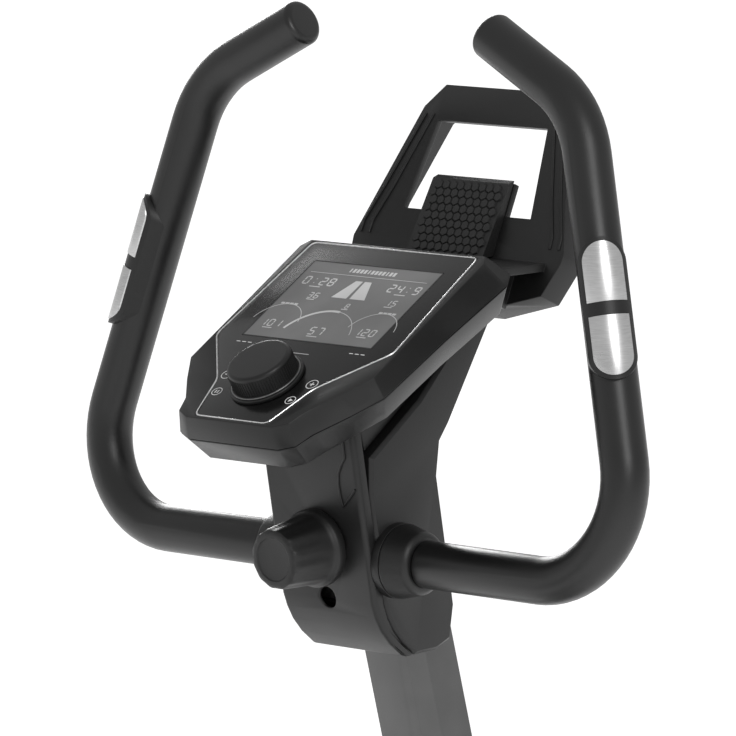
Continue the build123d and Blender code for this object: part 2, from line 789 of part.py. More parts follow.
with BuildPart() as pedal_strap_right:
    strap_face = Plane(
        origin=(pedal_middle, pedal_forward + strap_forward - strap_width / 2, pedal_height),
        x_dir=(1, 0, 0),
        z_dir=(0, -1, 0),
    )
    for grow, mode in ((strap_thick, Mode.ADD), (0, Mode.SUBTRACT)):
        half = pedal_width / 2 + 0.1 + grow
        top = strap_height + grow - strap_thick
        with BuildSketch(strap_face) as arch:
            with BuildLine():
                Polyline(
                    (-half, -8), (-half, 16), (-half + 14, top),
                    (half - 14, top), (half, 16), (half, -8), close=True,
                )
            make_face()
            fillet(arch.vertices().group_by(Axis.Y)[-1], 22 + grow)
        extrude(amount=-strap_width, mode=mode)
keep(pedal_strap_right.part, "pedal_strap_right")
keep(across_pedal(pedal_strap_right.part), "pedal_strap_left")

# Housing --------------------------------------------------------------------------------------------


def off_axis(plane, ahead):
    """Side-view point on a leaning plane, at a distance ahead of its axis."""
    point = plane.origin + plane.y_dir * ahead
    return (point.Y, point.Z)


housing_outline = [
    off_axis(seat_plane(seat_along(housing_floor)), -tube_margin - 4),
    off_axis(mast_plane(mast_along(housing_floor)), tube_margin),
    off_axis(mast_plane(housing_mast_top), tube_margin),
    off_axis(mast_plane(housing_mast_top), -tube_margin),
    off_axis(seat_plane(seat_along(housing_rear_top)), tube_margin),
    off_axis(seat_plane(seat_along(housing_rear_top)), -tube_margin),
]
housing_dip = (crank_forward + 60, crank_height + pulley_radius + 34)


def housing_blank(shrink, half, corner):
    """The housing's right-hand bulk, drawn in from its outline on every side."""
    rear_low, front_low, front_high, front_back, rear_front, rear_high = housing_outline
    with BuildPart() as blank:
        with BuildSketch(side_plane(part_gap / 2)) as outline:
            with BuildLine():
                Polyline(front_back, front_high, front_low, rear_low, rear_high, rear_front)
                ThreePointArc(rear_front, housing_dip, front_back)
            make_face()
            fillet(outline.vertices().group_by(Axis.Y)[0], 34)
            if shrink:
                offset(amount=-shrink, kind=Kind.INTERSECTION)
        extrude(amount=half)
        fillet(blank.faces().sort_by(Axis.X)[-1].edges(), corner)
    return blank.part


screw_places = [
    (crank_forward - 150, housing_floor + 40), (crank_forward - 235, housing_rear_top - 40),
    (crank_forward + 150, housing_floor + 30), (crank_forward + 330, housing_front_top - 60),
]

with BuildPart() as housing_right:
    add(housing_blank(0, housing_half, 20))
    add(housing_blank(housing_wall, housing_half - housing_wall, 18), mode=Mode.SUBTRACT)
    disc(30, 0, base_width, crank_forward, crank_height, Mode.SUBTRACT)
    with BuildSketch(mast_plane(mast_along(0))):
        add(mast_section(1.5))
    extrude(amount=bar_height, mode=Mode.SUBTRACT)
    with BuildSketch(seat_plane(seat_along(spine_bottom))):
        Circle(seat_tube_radius + 1)
    extrude(amount=bar_height, mode=Mode.SUBTRACT)
    with Locations((0, spine_middle, spine_top)):
        Box(spine_width + 2, spine_length, spine_height, mode=Mode.SUBTRACT)
    with Locations((0, flywheel_forward, spine_top)):
        Box(2 * fork_outer + 2, fork_foot + 6, spine_height, mode=Mode.SUBTRACT)
    for forward, height in screw_places:
        disc(screw_radius + seat_gap, 0, base_width, forward, height, Mode.SUBTRACT)
keep(housing_right.part, "housing_right")
keep(mirror(housing_right.part, about=Plane.YZ), "housing_left")

with BuildPart() as housing_screws:
    for forward, height in screw_places:
        disc(screw_radius, housing_half - housing_wall, housing_half + 1.5, forward, height)
    mirror(about=Plane.YZ)
keep(housing_screws.part, "housing_screws")

# Seat -----------------------------------------------------------------------------------------------

with BuildPart() as seat_sleeve:
    with BuildSketch(seat_plane(seat_tube_top - sleeve_length)):
        Circle(seat_tube_radius - seat_tube_wall - seat_gap)
    extrude(amount=sleeve_length)
    with BuildSketch(seat_plane(seat_tube_top)):
        Circle(seat_tube_radius + 2)
    extrude(amount=sleeve_flange)
    with BuildSketch(seat_plane(seat_tube_top - sleeve_length)):
        Circle(seat_post_radius + run_gap)
    extrude(amount=sleeve_length + sleeve_flange, mode=Mode.SUBTRACT)
    with BuildSketch(pin_plane):
        Circle(seat_pin_radius + run_gap)
    extrude(amount=2 * seat_tube_radius, mode=Mode.SUBTRACT)
keep(seat_sleeve.part, "seat_sleeve")

post_end = seat_plane(seat_post_top).origin
rail_bottom = post_end.Z + rail_above_post
rail_middle = rail_bottom + rail_height / 2

with BuildPart() as seat_post:
    with BuildSketch(seat_plane(seat_post_bottom)):
        Circle(seat_post_radius)
        Circle(seat_post_radius - seat_post_wall, mode=Mode.SUBTRACT)
    extrude(amount=seat_post_top - seat_post_bottom)
    with BuildSketch(seat_plane(seat_post_top - 4)):
        Circle(seat_post_radius)
    extrude(amount=4)
    with Locations((0, post_end.Y, rail_bottom)):
        Box(web_thick, web_length, 44, align=(Align.CENTER, Align.CENTER, Align.MAX))
    with BuildSketch(seat_plane(seat_post_bottom)):
        Circle(seat_post_radius - seat_post_wall)
    extrude(amount=seat_post_top - 4 - seat_post_bottom, mode=Mode.SUBTRACT)
    with Locations((0, post_end.Y, rail_middle)):
        Box(rail_width, rail_length, rail_height)
        Box(
            rail_width - 2 * rail_wall, rail_length - 2 * rail_wall, rail_height - 2 * rail_wall,
            mode=Mode.SUBTRACT,
        )
    for step in range(-seat_holes_down, seat_holes_up + 1):
        hole = seat_plane(seat_pin_along + step * seat_hole_pitch)
        with BuildSketch(Plane(origin=hole.origin, x_dir=(1, 0, 0), z_dir=hole.y_dir * -1)):
            Circle(seat_pin_radius + part_gap)
        extrude(amount=2 * seat_post_radius, mode=Mode.SUBTRACT)
keep(seat_post.part, "seat_post")

pin_tip = seat_post_radius + part_gap
pin_knob = seat_tube_radius + 24 + 10

with BuildPart() as seat_pin:
    with BuildSketch(pin_plane.offset(pin_tip)):
        Circle(seat_pin_radius)
    extrude(amount=pin_knob - pin_tip + 10)
    chamfer(seat_pin.faces().sort_by(Axis.Y)[-1].edges(), 1)
    with BuildSketch(pin_plane.offset(pin_knob)):
        Circle(13)
    with BuildSketch(pin_plane.offset(pin_knob + 26)):
        Circle(21)
    loft()
    with BuildSketch(pin_plane.offset(pin_knob + 26)):
        Circle(21)
    extrude(amount=8)
    fillet(seat_pin.faces().sort_by(Axis.Y)[0].edges(), 4)
keep(seat_pin.part, "seat_pin")

sleeve_width = rail_width + 2 * slide_gap + 2 * carriage_wall
sleeve_height = rail_height + 2 * slide_gap + 2 * carriage_wall
carriage_top = rail_middle + sleeve_height / 2

with BuildPart() as seat_carriage:
    with Locations((0, post_end.Y, rail_middle)):
        Box(sleeve_width, carriage_length, sleeve_height)
        fillet(seat_carriage.edges().filter_by(Axis.Y), 4)
        Box(rail_width + 2 * slide_gap, carriage_length, rail_height + 2 * slide_gap, mode=Mode.SUBTRACT)
    with Locations((0, post_end.Y, rail_middle - sleeve_height / 2)):
        Box(carriage_slot, carriage_length, 3 * carriage_wall, mode=Mode.SUBTRACT)
    with Locations((0, post_end.Y, carriage_top - 1)):
        Cylinder(stem_radius, stem_height + 1, align=(Align.CENTER, Align.CENTER, Align.MIN))
        Cylinder(stem_radius + 7, 7, align=(Align.CENTER, Align.CENTER, Align.MIN))
    disc(11, sleeve_width / 2 - 1, sleeve_width / 2 + 12, post_end.Y, rail_middle)
    disc(5 + run_gap, rail_width / 2, sleeve_width, post_end.Y, rail_middle, Mode.SUBTRACT)
keep(seat_carriage.part, "seat_carriage")

with BuildPart() as carriage_knob:
    hub = sleeve_width / 2 + 12 + part_gap
    disc(5, rail_width / 2 + part_gap, hub + 4, post_end.Y, rail_middle)
    with BuildSketch(across_plane(hub, post_end.Y, rail_middle)):
        Circle(18)
        with PolarLocations(17, 5):
            Circle(8)
    extrude(amount=22)
    fillet(carriage_knob.faces().sort_by(Axis.X)[-1].edges(), 3)
keep(carriage_knob.part, "carriage_knob")

pan_bottom = carriage_top + stem_height - pan_thick + 4
pan_top = pan_bottom + pan_thick


def saddle_outline(height, inset):
    """The saddle's plan shape, wide behind and narrow ahead."""
    rear = post_end.Y - saddle_length / 2 + inset
    nose = post_end.Y + saddle_length / 2 - inset
    wide = saddle_rear_half - inset
    narrow = saddle_nose_half - inset / 2
    with BuildSketch(Plane.XY.offset(height)) as plan:
        with BuildLine() as edge:
            Spline(
                (0, rear), (wide * 0.62, rear + 6), (wide, rear + 58), (wide * 0.78, rear + 118),
                (narrow * 1.2, nose - 84), (narrow, nose - 30), (0, nose),
                tangents=((1, 0), (-1, 0)),
            )
            mirror(about=Plane.YZ)
        make_face()
    return plan.sketch


with BuildPart() as saddle_pan:
    add(saddle_outline(pan_bottom, 8))
    extrude(amount=pan_thick)
    with Locations((0, post_end.Y, pan_bottom)):
        Cylinder(stem_radius + 8, 12, align=(Align.CENTER, Align.CENTER, Align.MAX))
    with Locations((0, post_end.Y, carriage_top + stem_height)):
        Cylinder(
            stem_radius + seat_gap, stem_height, align=(Align.CENTER, Align.CENTER, Align.MAX),
            mode=Mode.SUBTRACT,
        )
keep(saddle_pan.part, "saddle_pan")

with BuildPart() as saddle_cushion:
    add(saddle_outline(pan_top, 0))
    extrude(amount=cushion_thick - cushion_crown)
    add(saddle_outline(pan_top + cushion_thick - cushion_crown, cushion_crown))
    extrude(amount=cushion_crown)
keep(saddle_cushion.part, "saddle_cushion")

# Handlebar ------------------------------------------------------------------------------------------

lean_bar = radians(bar_lean)
bar_plane = Plane(
    origin=(0, bar_forward, bar_height), x_dir=(1, 0, 0), z_dir=(0, -cos(lean_bar), sin(lean_bar))
)
bar_route = [
    (bar_end_half, bar_end_rise), (bar_shoulder_half, bar_shoulder_rise), (bar_corner_half, 0),
]


def bar_end_point(extra):
    """The handlebar's right end, moved on along its last run."""
    run = Vector(bar_end_half - bar_shoulder_half, bar_end_rise - bar_shoulder_rise)
    end = Vector(bar_end_half, bar_end_rise) + run.normalized() * extra
    return (end.X, end.Y)


with BuildPart() as handlebar_tube:
    with BuildLine(bar_plane) as whole_route:
        FilletPolyline(
            *both_sides(bar_route), radius=[bar_top_bend, bar_bend, bar_bend, bar_top_bend],
        )
    with BuildSketch(Plane(origin=whole_route.line @ 0, z_dir=whole_route.line % 0)):
        Circle(bar_radius)
        Circle(bar_radius - bar_wall, mode=Mode.SUBTRACT)
    sweep(path=whole_route.wires()[0])
keep(handlebar_tube.part, "handlebar_tube")

with BuildPart() as handlebar_grips:
    sleeve_and_bore = ((grip_radius, grip_end, Mode.ADD), (bar_radius + seat_gap, 0, Mode.SUBTRACT))
    for radius, extra, mode in sleeve_and_bore:
        start = grip_start if mode == Mode.ADD else grip_start - 1
        with BuildLine(bar_plane) as grip_route:
            FilletPolyline(
                (start, 0), *reversed(bar_route[1:]), bar_end_point(extra), radius=[bar_bend, bar_top_bend]
            )
        with BuildSketch(Plane(origin=grip_route.line @ 0, z_dir=grip_route.line % 0)):
            Circle(radius)
        sweep(path=grip_route.wires()[0], mode=mode)
        if mode == Mode.ADD:
            fillet(handlebar_grips.faces().sort_by(Axis.Z)[-1].edges(), 5)
    mirror(about=Plane.YZ)
keep(handlebar_grips.part, "handlebar_grips")

with BuildPart() as handlebar_collars:
    with BuildSketch(Plane(origin=(0, bar_forward, bar_height), x_dir=(1, 0, 0), z_dir=(0, -1, 0))):
        with BuildLine():
            inner = bar_radius + part_gap
            end = grip_start - part_gap
            Polyline(
                (collar_inner, inner), (end, inner), (end, collar_end_radius - 3),
                (grip_start - 3, collar_end_radius), (collar_inner + 4, collar_radius - 1),
                (collar_inner, collar_radius), (collar_inner, inner),
            )
        make_face()
    revolve(axis=Axis((0, bar_forward, bar_height), (1, 0, 0)))
    mirror(about=Plane.YZ)
keep(handlebar_collars.part, "handlebar_collars")


def pulse_place(rise):
    """A plane on the right bar's run, its local x along the tube and its normal facing the palm."""
    low = Vector(bar_corner_half, 0)
    high = Vector(bar_shoulder_half, bar_shoulder_rise)
    share = rise / bar_shoulder_rise
    point = low + (high - low) * share
    along = bar_plane.from_local_coords(high) - bar_plane.from_local_coords(low)
    origin = bar_plane.from_local_coords(point)
    along = along.normalized()
    across = bar_plane.z_dir.cross(along)
    turn = radians(pulse_turn)
    outward = across if across.X > 0 else across * -1
    normal = bar_plane.z_dir * cos(turn) + outward * sin(turn)
    return Plane(origin=origin, x_dir=along, z_dir=normal)


pulse_middle = (pulse_low + pulse_high) / 2
pulse_slope = atan2(bar_corner_half - bar_shoulder_half, bar_shoulder_rise)
pulse_length = (pulse_high - pulse_low) / cos(pulse_slope)

with BuildPart() as pulse_bases:
    place = pulse_place(pulse_middle)
    with BuildSketch(place):
        SlotOverall(pulse_length, pulse_width)
    extrude(amount=2 * grip_radius)
    with Locations(place):
        Cylinder(pulse_base_radius, 2 * pulse_length, rotation=(0, 90, 0), mode=Mode.INTERSECT)
        Cylinder(grip_radius + seat_gap, 2 * pulse_length, rotation=(0, 90, 0), mode=Mode.SUBTRACT)
    mirror(about=Plane.YZ)
keep(pulse_bases.part, "pulse_bases")

with BuildPart() as pulse_plates:
    with BuildSketch(place):
        SlotOverall(pulse_length - 6, plate_width)
        Rectangle(pulse_length - 6 - 2 * plate_length, plate_width, mode=Mode.SUBTRACT)
    extrude(amount=2 * grip_radius)
    with Locations(place):
        Cylinder(pulse_plate_radius, 2 * pulse_length, rotation=(0, 90, 0), mode=Mode.INTERSECT)
        Cylinder(pulse_base_radius + seat_gap, 2 * pulse_length, rotation=(0, 90, 0), mode=Mode.SUBTRACT)
    mirror(about=Plane.YZ)
keep(pulse_plates.part, "pulse_plates")

# Handlebar clamp ------------------------------------------------------------------------------------

bar_behind_mast = mast_ahead * cos(radians(mast_lean))
bar_along_mast = mast_ahead * sin(radians(mast_lean))
knob_plane = Plane(
    origin=(0, bar_forward - knob_start, bar_height + knob_height),
    x_dir=(1, 0, 0),
    z_dir=(0, -cos(radians(knob_dip)), -sin(radians(knob_dip))),
)
knob_reach = knob_start - bar_radius - 0.8  # how far the shaft runs in from the knob's base


def clamp_block(ahead_from, ahead_to):
    """Half of the clamp: a block behind the mast between two distances, bored for the handlebar."""
    with BuildPart() as block:
        with BuildSketch(mast_plane(bar_along_mast - clamp_height / 2)):
            with Locations((0, (ahead_from + ahead_to) / 2)):
                Rectangle(2 * cradle_half, ahead_to - ahead_from)
        extrude(amount=clamp_height)
        disc(bar_radius + run_gap, -base_width, base_width, bar_forward, bar_height, Mode.SUBTRACT)
        for side in (-1, 1):
            for rise in (-clamp_screw_rise, clamp_screw_rise):
                with Locations(mast_plane(bar_along_mast + rise)):
                    with Locations((side * clamp_screw_spread, -bar_behind_mast, 0)):
                        hole_radius = clamp_screw_radius + seat_gap
                        Cylinder(hole_radius, 90, rotation=(90, 0, 0), mode=Mode.SUBTRACT)
    return block.part


cap_rear = -bar_behind_mast - clamp_cap_depth

with BuildPart() as handlebar_cradle:
    add(clamp_block(-bar_behind_mast + clamp_split, -mast_depth / 2))
keep(handlebar_cradle.part, "handlebar_cradle")

with BuildPart() as clamp_cap:
    add(clamp_block(cap_rear, -bar_behind_mast - clamp_split))
    with BuildSketch(knob_plane.offset(-knob_reach - 0.5)):
        Circle(knob_shaft_radius + run_gap)
    extrude(amount=knob_reach + 1, mode=Mode.SUBTRACT)
keep(clamp_cap.part, "clamp_cap")

with BuildPart() as clamp_screws:
    for side in (-1, 1):
        for rise in (-clamp_screw_rise, clamp_screw_rise):
            with Locations(mast_plane(bar_along_mast + rise)):
                with Locations((side * clamp_screw_spread, cap_rear, 0)):
                    Cylinder(
                        clamp_screw_radius, clamp_cap_depth + bar_behind_mast - mast_depth / 2,
                        rotation=(-90, 0, 0), align=(Align.CENTER, Align.CENTER, Align.MIN),
                    )
                    Cylinder(
                        clamp_head_radius, clamp_head_height,
                        rotation=(90, 0, 0), align=(Align.CENTER, Align.CENTER, Align.MIN),
                    )
keep(clamp_screws.part, "clamp_screws")

with BuildPart() as clamp_knob:
    with BuildSketch(Plane(origin=knob_plane.origin, x_dir=(1, 0, 0), z_dir=knob_plane.y_dir)):
        with BuildLine():
            Polyline(
                (0, knob_reach), (knob_shaft_radius, knob_reach), (knob_shaft_radius, 0), (knob_radius, 0),
                (knob_radius, -7), (knob_radius - 2, -9), (knob_radius - 3, -11),
                (knob_end_radius + 1.5, -knob_length + 3), (knob_end_radius - 1.5, -knob_length),
                (0, -knob_length), (0, knob_reach),
            )
        make_face()
    revolve(axis=Axis(knob_plane.origin, knob_plane.z_dir))
keep(clamp_knob.part, "clamp_knob")

# Head covers ----------------------------------------------------------------------------------------

rear_line = [(9, -70), (-4, -60), (-13, -50), (-19, -40), (-23, -30), (-37.5, 47.5), (-47, 97)]
behind_seam = [(y + rear_depth + seam, z) for y, z in reversed(rear_line[:-1])]
side_outline = behind_seam + [
    (41.7, -69.0), (57, -63), (61, -38), (51, 12), (43, 56), (46, 80), (55, 91.7), (70.8, 117.4),
    (101.5, 165.9), (84.5, 173.4), (23.6, 111.8), (-37.5 + rear_depth + seam, 75.2),
]


def side_block(shrink, half):
    """The right side cover's bulk from the centre plane out, drawn in from its outline."""
    with BuildPart() as block:
        with BuildSketch(side_plane(part_gap / 2)) as outline:
            Polygon(*from_bar(side_outline), align=None)
            if shrink:
                offset(amount=-shrink, kind=Kind.INTERSECTION)
        extrude(amount=half - part_gap / 2)
    return block.part


with BuildPart() as head_cover_right:
    add(side_block(0, head_half))
    chamfer(head_cover_right.faces().sort_by(Axis.X)[-1].edges(), 2.5)
    add(side_block(head_wall, head_half - head_wall), mode=Mode.SUBTRACT)
    disc(collar_radius, head_half - 0.4, collar_inner, bar_forward, bar_height)
    disc(bar_radius + part_gap, 0, base_width, bar_forward, bar_height, Mode.SUBTRACT)
    with BuildSketch(mast_plane(mast_along(bar_height - 200))):
        add(mast_section(0.5))
    extrude(amount=mast_top - mast_along(bar_height - 200) + 1, mode=Mode.SUBTRACT)
    with BuildSketch(mast_plane(bar_along_mast - clamp_height / 2 - 1)):
        with Locations((0, -mast_depth)):
            Rectangle(2 * cradle_half + 1, mast_depth + 20)
    extrude(amount=clamp_height + 2, mode=Mode.SUBTRACT)
keep(head_cover_right.part, "head_cover_right")
keep(mirror(head_cover_right.part, about=Plane.YZ), "head_cover_left")

with BuildPart() as head_rear_cover:
    with BuildSketch(side_plane(-head_half + 0.5)):
        Polygon(*from_bar(rear_line + [(y + rear_depth, z) for y, z in reversed(rear_line)]), align=None)
    extrude(amount=2 * head_half - 1)
    rear_faces = head_rear_cover.faces().filter_by(lambda face: face.normal_at().Y < -0.3)
    fillet(rear_faces.edges().filter_by(Axis.X, reverse=True), 4)
    with BuildSketch(side_plane(-head_half + 0.5 + head_wall)):
        pocket = [(y + head_wall, z) for y, z in rear_line]
        Polygon(*from_bar(pocket + [(y + 2 * rear_depth, z) for y, z in reversed(rear_line)]), align=None)
    extrude(amount=2 * (head_half - head_wall) - 1, mode=Mode.SUBTRACT)
    with BuildSketch(knob_plane.offset(-2 * knob_start)):
        Circle(knob_shaft_radius + 1)
    extrude(amount=4 * knob_start, mode=Mode.SUBTRACT)
    with Locations((0, bar_forward - 60, bar_height - screw_hole_drop)):
        Cylinder(screw_hole_radius, 120, rotation=(90, 0, 0), mode=Mode.SUBTRACT)
keep(head_rear_cover.part, "head_rear_cover")

# Console --------------------------------------------------------------------------------------------


def console_slice(edge, depth, inset=0.0):
    """A closed outline parallel to the console's face, at a depth below it."""
    with BuildSketch(face_plane(depth)) as outline:
        Polygon(*both_sides(edge), align=None)
        if inset:
            offset(amount=-inset, kind=Kind.INTERSECTION)
    return outline.sketch


face_web = glass_thick + 1.5

with BuildPart() as console_housing:
    loft([console_slice(face_edge, 0), console_slice(split_edge, console_split)], ruled=True)
    extrude(console_slice(glass_edge, glass_thick), amount=glass_thick, mode=Mode.SUBTRACT)
    pocket = console_slice(face_edge, console_split, 2 * console_wall)
    extrude(pocket, amount=console_split - face_web, mode=Mode.SUBTRACT)
    with BuildSketch(face_plane(console_split)):
        with Locations((0, -display_top - display_height / 2)):
            Rectangle(display_width + 2 * part_gap, display_height + 2 * part_gap)
    extrude(amount=console_split, mode=Mode.SUBTRACT)
    with Locations(face_plane(console_split)):
        with Locations((0, -dial_along)):
            Cylinder(10, console_split - face_web + 0.5, align=(Align.CENTER, Align.CENTER, Align.MIN))
            Cylinder(dial_shaft_radius + run_gap, 2 * console_split, mode=Mode.SUBTRACT)
keep(console_housing.part, "console_housing")

with BuildPart() as console_back:
    front_slice = console_slice(split_edge, console_split + seam)
    loft([front_slice, console_slice(back_edge, console_thick)], ruled=True)
    with BuildSketch(side_plane(-rear_half + 4)):
        Polygon(*from_bar(neck_outline), align=None)
    extrude(amount=2 * rear_half - 8)
    pocket = console_slice(back_edge, console_thick - console_wall, 2 * console_wall)
    extrude(pocket, amount=console_thick - console_wall - console_split, mode=Mode.SUBTRACT)
keep(console_back.part, "console_back")

with BuildPart() as console_glass:
    extrude(console_slice(glass_edge, glass_thick, 0.1), amount=glass_thick)
    with Locations(face_plane(0)):
        with Locations((0, -dial_along)):
            Cylinder(dial_shaft_radius + part_gap, 10, mode=Mode.SUBTRACT)
keep(console_glass.part, "console_glass")

with BuildPart() as console_display:
    with BuildSketch(face_plane(glass_thick + display_thick)):
        with Locations((0, -display_top - display_height / 2)):
            Rectangle(display_width, display_height)
    extrude(amount=display_thick - 0.1)
keep(console_display.part, "console_display")

with BuildPart() as console_dial:
    with Locations(face_plane(-part_gap)):
        with Locations((0, -dial_along)):
            Cylinder(dial_base_radius, 3, align=(Align.CENTER, Align.CENTER, Align.MIN))
            Cylinder(dial_radius, dial_height, align=(Align.CENTER, Align.CENTER, Align.MIN))
            Cylinder(dial_shaft_radius, console_split - 4, align=(Align.CENTER, Align.CENTER, Align.MAX))
    top_face = console_dial.faces().sort_by(Axis((0, 0, 0), face_plane().z_dir))[-1]
    fillet(top_face.edges(), 3)
keep(console_dial.part, "console_dial")

# Tablet holder --------------------------------------------------------------------------------------

with BuildPart() as tablet_holder:
    with BuildSketch(holder_plane(0)):
        Polygon(*both_sides(holder_edge), align=None)
        Polygon(*both_sides(window_edge), align=None, mode=Mode.SUBTRACT)
    extrude(amount=-holder_depth)
    rear_face = tablet_holder.faces().sort_by(Axis((0, 0, 0), holder_plane().z_dir))[0]
    chamfer(rear_face.outer_wire().edges(), 6)
    with BuildSketch(holder_plane(holder_web)):
        Polygon(*both_sides(holder_edge), align=None)
        offset(amount=-holder_rim, kind=Kind.INTERSECTION)
        with Locations((0, holder_recess_low - 2 * tongue_top)):
            Rectangle(4 * shelf_half, 4 * tongue_top, mode=Mode.SUBTRACT)
    extrude(amount=-holder_depth, mode=Mode.SUBTRACT)
    with BuildSketch(holder_plane(0)):
        with Locations((0, tongue_top - 20)):
            Rectangle(2 * tongue_half, 40)
    extrude(amount=-holder_web)
    with BuildSketch(side_plane(-shelf_half)):
        Polygon(*from_bar(shelf_outline), align=None)
    extrude(amount=2 * shelf_half)
    with BuildSketch(side_plane(-shelf_half + 26)):
        Polygon(*from_bar(wedge_outline), align=None)
    extrude(amount=2 * shelf_half - 52)
keep(tablet_holder.part, "tablet_holder")

with BuildPart() as tablet_pad:
    with BuildSketch(side_plane(-pad_half)):
        Polygon(*from_bar(pad_outline), align=None)
    extrude(amount=2 * pad_half)
keep(tablet_pad.part, "tablet_pad")
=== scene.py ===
"""The looks of the upright exercise bike: finishes, soft parts, console graphics, light and camera."""

import json
import math

import bmesh
import bpy
from mathutils import Matrix, Vector


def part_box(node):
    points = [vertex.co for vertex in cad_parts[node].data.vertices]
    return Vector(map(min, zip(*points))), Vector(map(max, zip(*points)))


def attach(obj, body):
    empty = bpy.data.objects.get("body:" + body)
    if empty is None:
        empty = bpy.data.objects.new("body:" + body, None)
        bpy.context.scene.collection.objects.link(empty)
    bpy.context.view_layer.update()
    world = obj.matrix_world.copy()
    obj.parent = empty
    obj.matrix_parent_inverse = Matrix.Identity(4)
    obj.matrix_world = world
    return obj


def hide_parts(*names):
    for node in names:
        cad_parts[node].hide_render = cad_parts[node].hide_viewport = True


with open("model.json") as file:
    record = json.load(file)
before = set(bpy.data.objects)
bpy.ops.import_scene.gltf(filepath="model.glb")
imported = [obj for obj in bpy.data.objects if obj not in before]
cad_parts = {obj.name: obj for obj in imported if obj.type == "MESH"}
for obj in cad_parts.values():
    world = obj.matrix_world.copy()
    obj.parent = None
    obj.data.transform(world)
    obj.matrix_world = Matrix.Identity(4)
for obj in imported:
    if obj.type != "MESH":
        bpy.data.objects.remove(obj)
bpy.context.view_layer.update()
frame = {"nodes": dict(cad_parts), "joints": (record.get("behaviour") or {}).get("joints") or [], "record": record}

MM = 0.001
record = frame["record"]
body_of = {node: body for body, nodes in record["behaviour"]["bodies"].items() for node in nodes}
slot_of = {entry["node"]: entry["material_slot"] for entry in record["subparts"]}
RIGHT = Vector((1, 0, 0))


def joint_line(name):
    """A joint's point and its unit axis, from the frame."""
    joint = next(joint for joint in frame["joints"] if joint["name"] == name)
    return Vector(joint["pos_m"]), Vector(joint["axis"]).normalized()


bar_axis, _ = joint_line("handlebar_tilt")  # the middle of the handlebar's cross run


# Camera ---------------------------------------------------------------------------------------------

VIEW_AZIMUTH = math.radians(43)
VIEW_ELEVATION = math.radians(7.08)
VIEW_DISTANCE = 4.794
VIEW_SIDE = 0.013
VIEW_RISE = 0.1317
SENSOR = 36.0
LENS = 330.6
CLIP_END = 200


def make_camera():
    """A long lens looking forward and left at the console from behind the rider's right shoulder."""
    right = Vector((math.cos(VIEW_AZIMUTH), math.sin(VIEW_AZIMUTH), 0))
    level = Vector((-math.sin(VIEW_AZIMUTH), math.cos(VIEW_AZIMUTH), 0))
    look = level * math.cos(VIEW_ELEVATION) - Vector((0, 0, math.sin(VIEW_ELEVATION)))
    up = right.cross(look)
    data = bpy.data.cameras.new("camera")
    data.lens = LENS
    data.sensor_width = SENSOR
    data.clip_end = CLIP_END
    camera = bpy.data.objects.new("camera", data)
    place = bar_axis + right * VIEW_SIDE + up * VIEW_RISE - look * VIEW_DISTANCE
    camera.matrix_world = Matrix.Translation(place) @ Matrix((right, up, -look)).transposed().to_4x4()
    bpy.context.scene.collection.objects.link(camera)
    bpy.context.scene.camera = camera


# Light and floor ------------------------------------------------------------------------------------

SURROUND = 0.6
LIGHT_TARGET = (0, 0.1, 1.0)
FLOOR_REACH = 120


def area_light(name, place, size, power):
    """A soft square light aimed at the bike's upper part."""
    data = bpy.data.lights.new(name, "AREA")
    data.shape = "SQUARE"
    data.size = size
    data.energy = power
    lamp = bpy.data.objects.new(name, data)
    lamp.location = place
    lamp.rotation_euler = (Vector(LIGHT_TARGET) - Vector(place)).to_track_quat("-Z", "Y").to_euler()
    bpy.context.scene.collection.objects.link(lamp)


def make_studio():
    """A white surround, a pale floor and soft lights either side."""
    world = bpy.data.worlds.new("studio")
    world.use_nodes = True
    background = world.node_tree.nodes["Background"]
    background.inputs["Color"].default_value = (1, 1, 1, 1)
    background.inputs["Strength"].default_value = SURROUND
    bpy.context.scene.world = world
    bpy.context.scene.view_settings.view_transform = "Standard"
    area_light("key", (2.6, -1.2, 2.8), size=1.1, power=32)
    area_light("rim", (-2.2, 1.8, 1.9), size=0.9, power=24)
    mesh = bpy.data.meshes.new("floor")
    corners = [(x * FLOOR_REACH, y * FLOOR_REACH, 0) for x, y in ((-1, -1), (1, -1), (1, 1), (-1, 1))]
    mesh.from_pydata(corners, [], [(0, 1, 2, 3)])
    floor = bpy.data.objects.new("floor", mesh)
    bpy.context.scene.collection.objects.link(floor)
    floor.data.materials.append(floor_material())


# Materials ------------------------------------------------------------------------------------------

NOISE_RANGE = (0.3, 0.7)  # the part of a noise's values that a range of roughness is stretched over
TINT_RANGE = (0.35, 0.65)  # and the part that two colours are blended over


def shader_of(name):
    """A new material with its principled shader, node tree and links."""
    material = bpy.data.materials.new(name)
    material.use_nodes = True
    tree = material.node_tree
    return material, tree.nodes["Principled BSDF"], tree


def coordinates(tree, scale=(1, 1, 1)):
    """Object coordinates, stretched along each axis."""
    source = tree.nodes.new("ShaderNodeTexCoord")
    mapping = tree.nodes.new("ShaderNodeMapping")
    mapping.inputs["Scale"].default_value = scale
    tree.links.new(source.outputs["Object"], mapping.inputs["Vector"])
    return mapping.outputs["Vector"]


def noise(tree, vector, scale, detail=4.0):
    """A noise texture's value."""
    node = tree.nodes.new("ShaderNodeTexNoise")
    node.inputs["Scale"].default_value = scale
    node.inputs["Detail"].default_value = detail
    tree.links.new(vector, node.inputs["Vector"])
    return node.outputs["Fac"]


def spread(tree, value, low, high):
    """Map a zero-to-one value to a range of roughness or the like."""
    node = tree.nodes.new("ShaderNodeMapRange")
    node.inputs["From Min"].default_value, node.inputs["From Max"].default_value = NOISE_RANGE
    node.inputs["To Min"].default_value = low
    node.inputs["To Max"].default_value = high
    tree.links.new(value, node.inputs["Value"])
    return node.outputs["Result"]


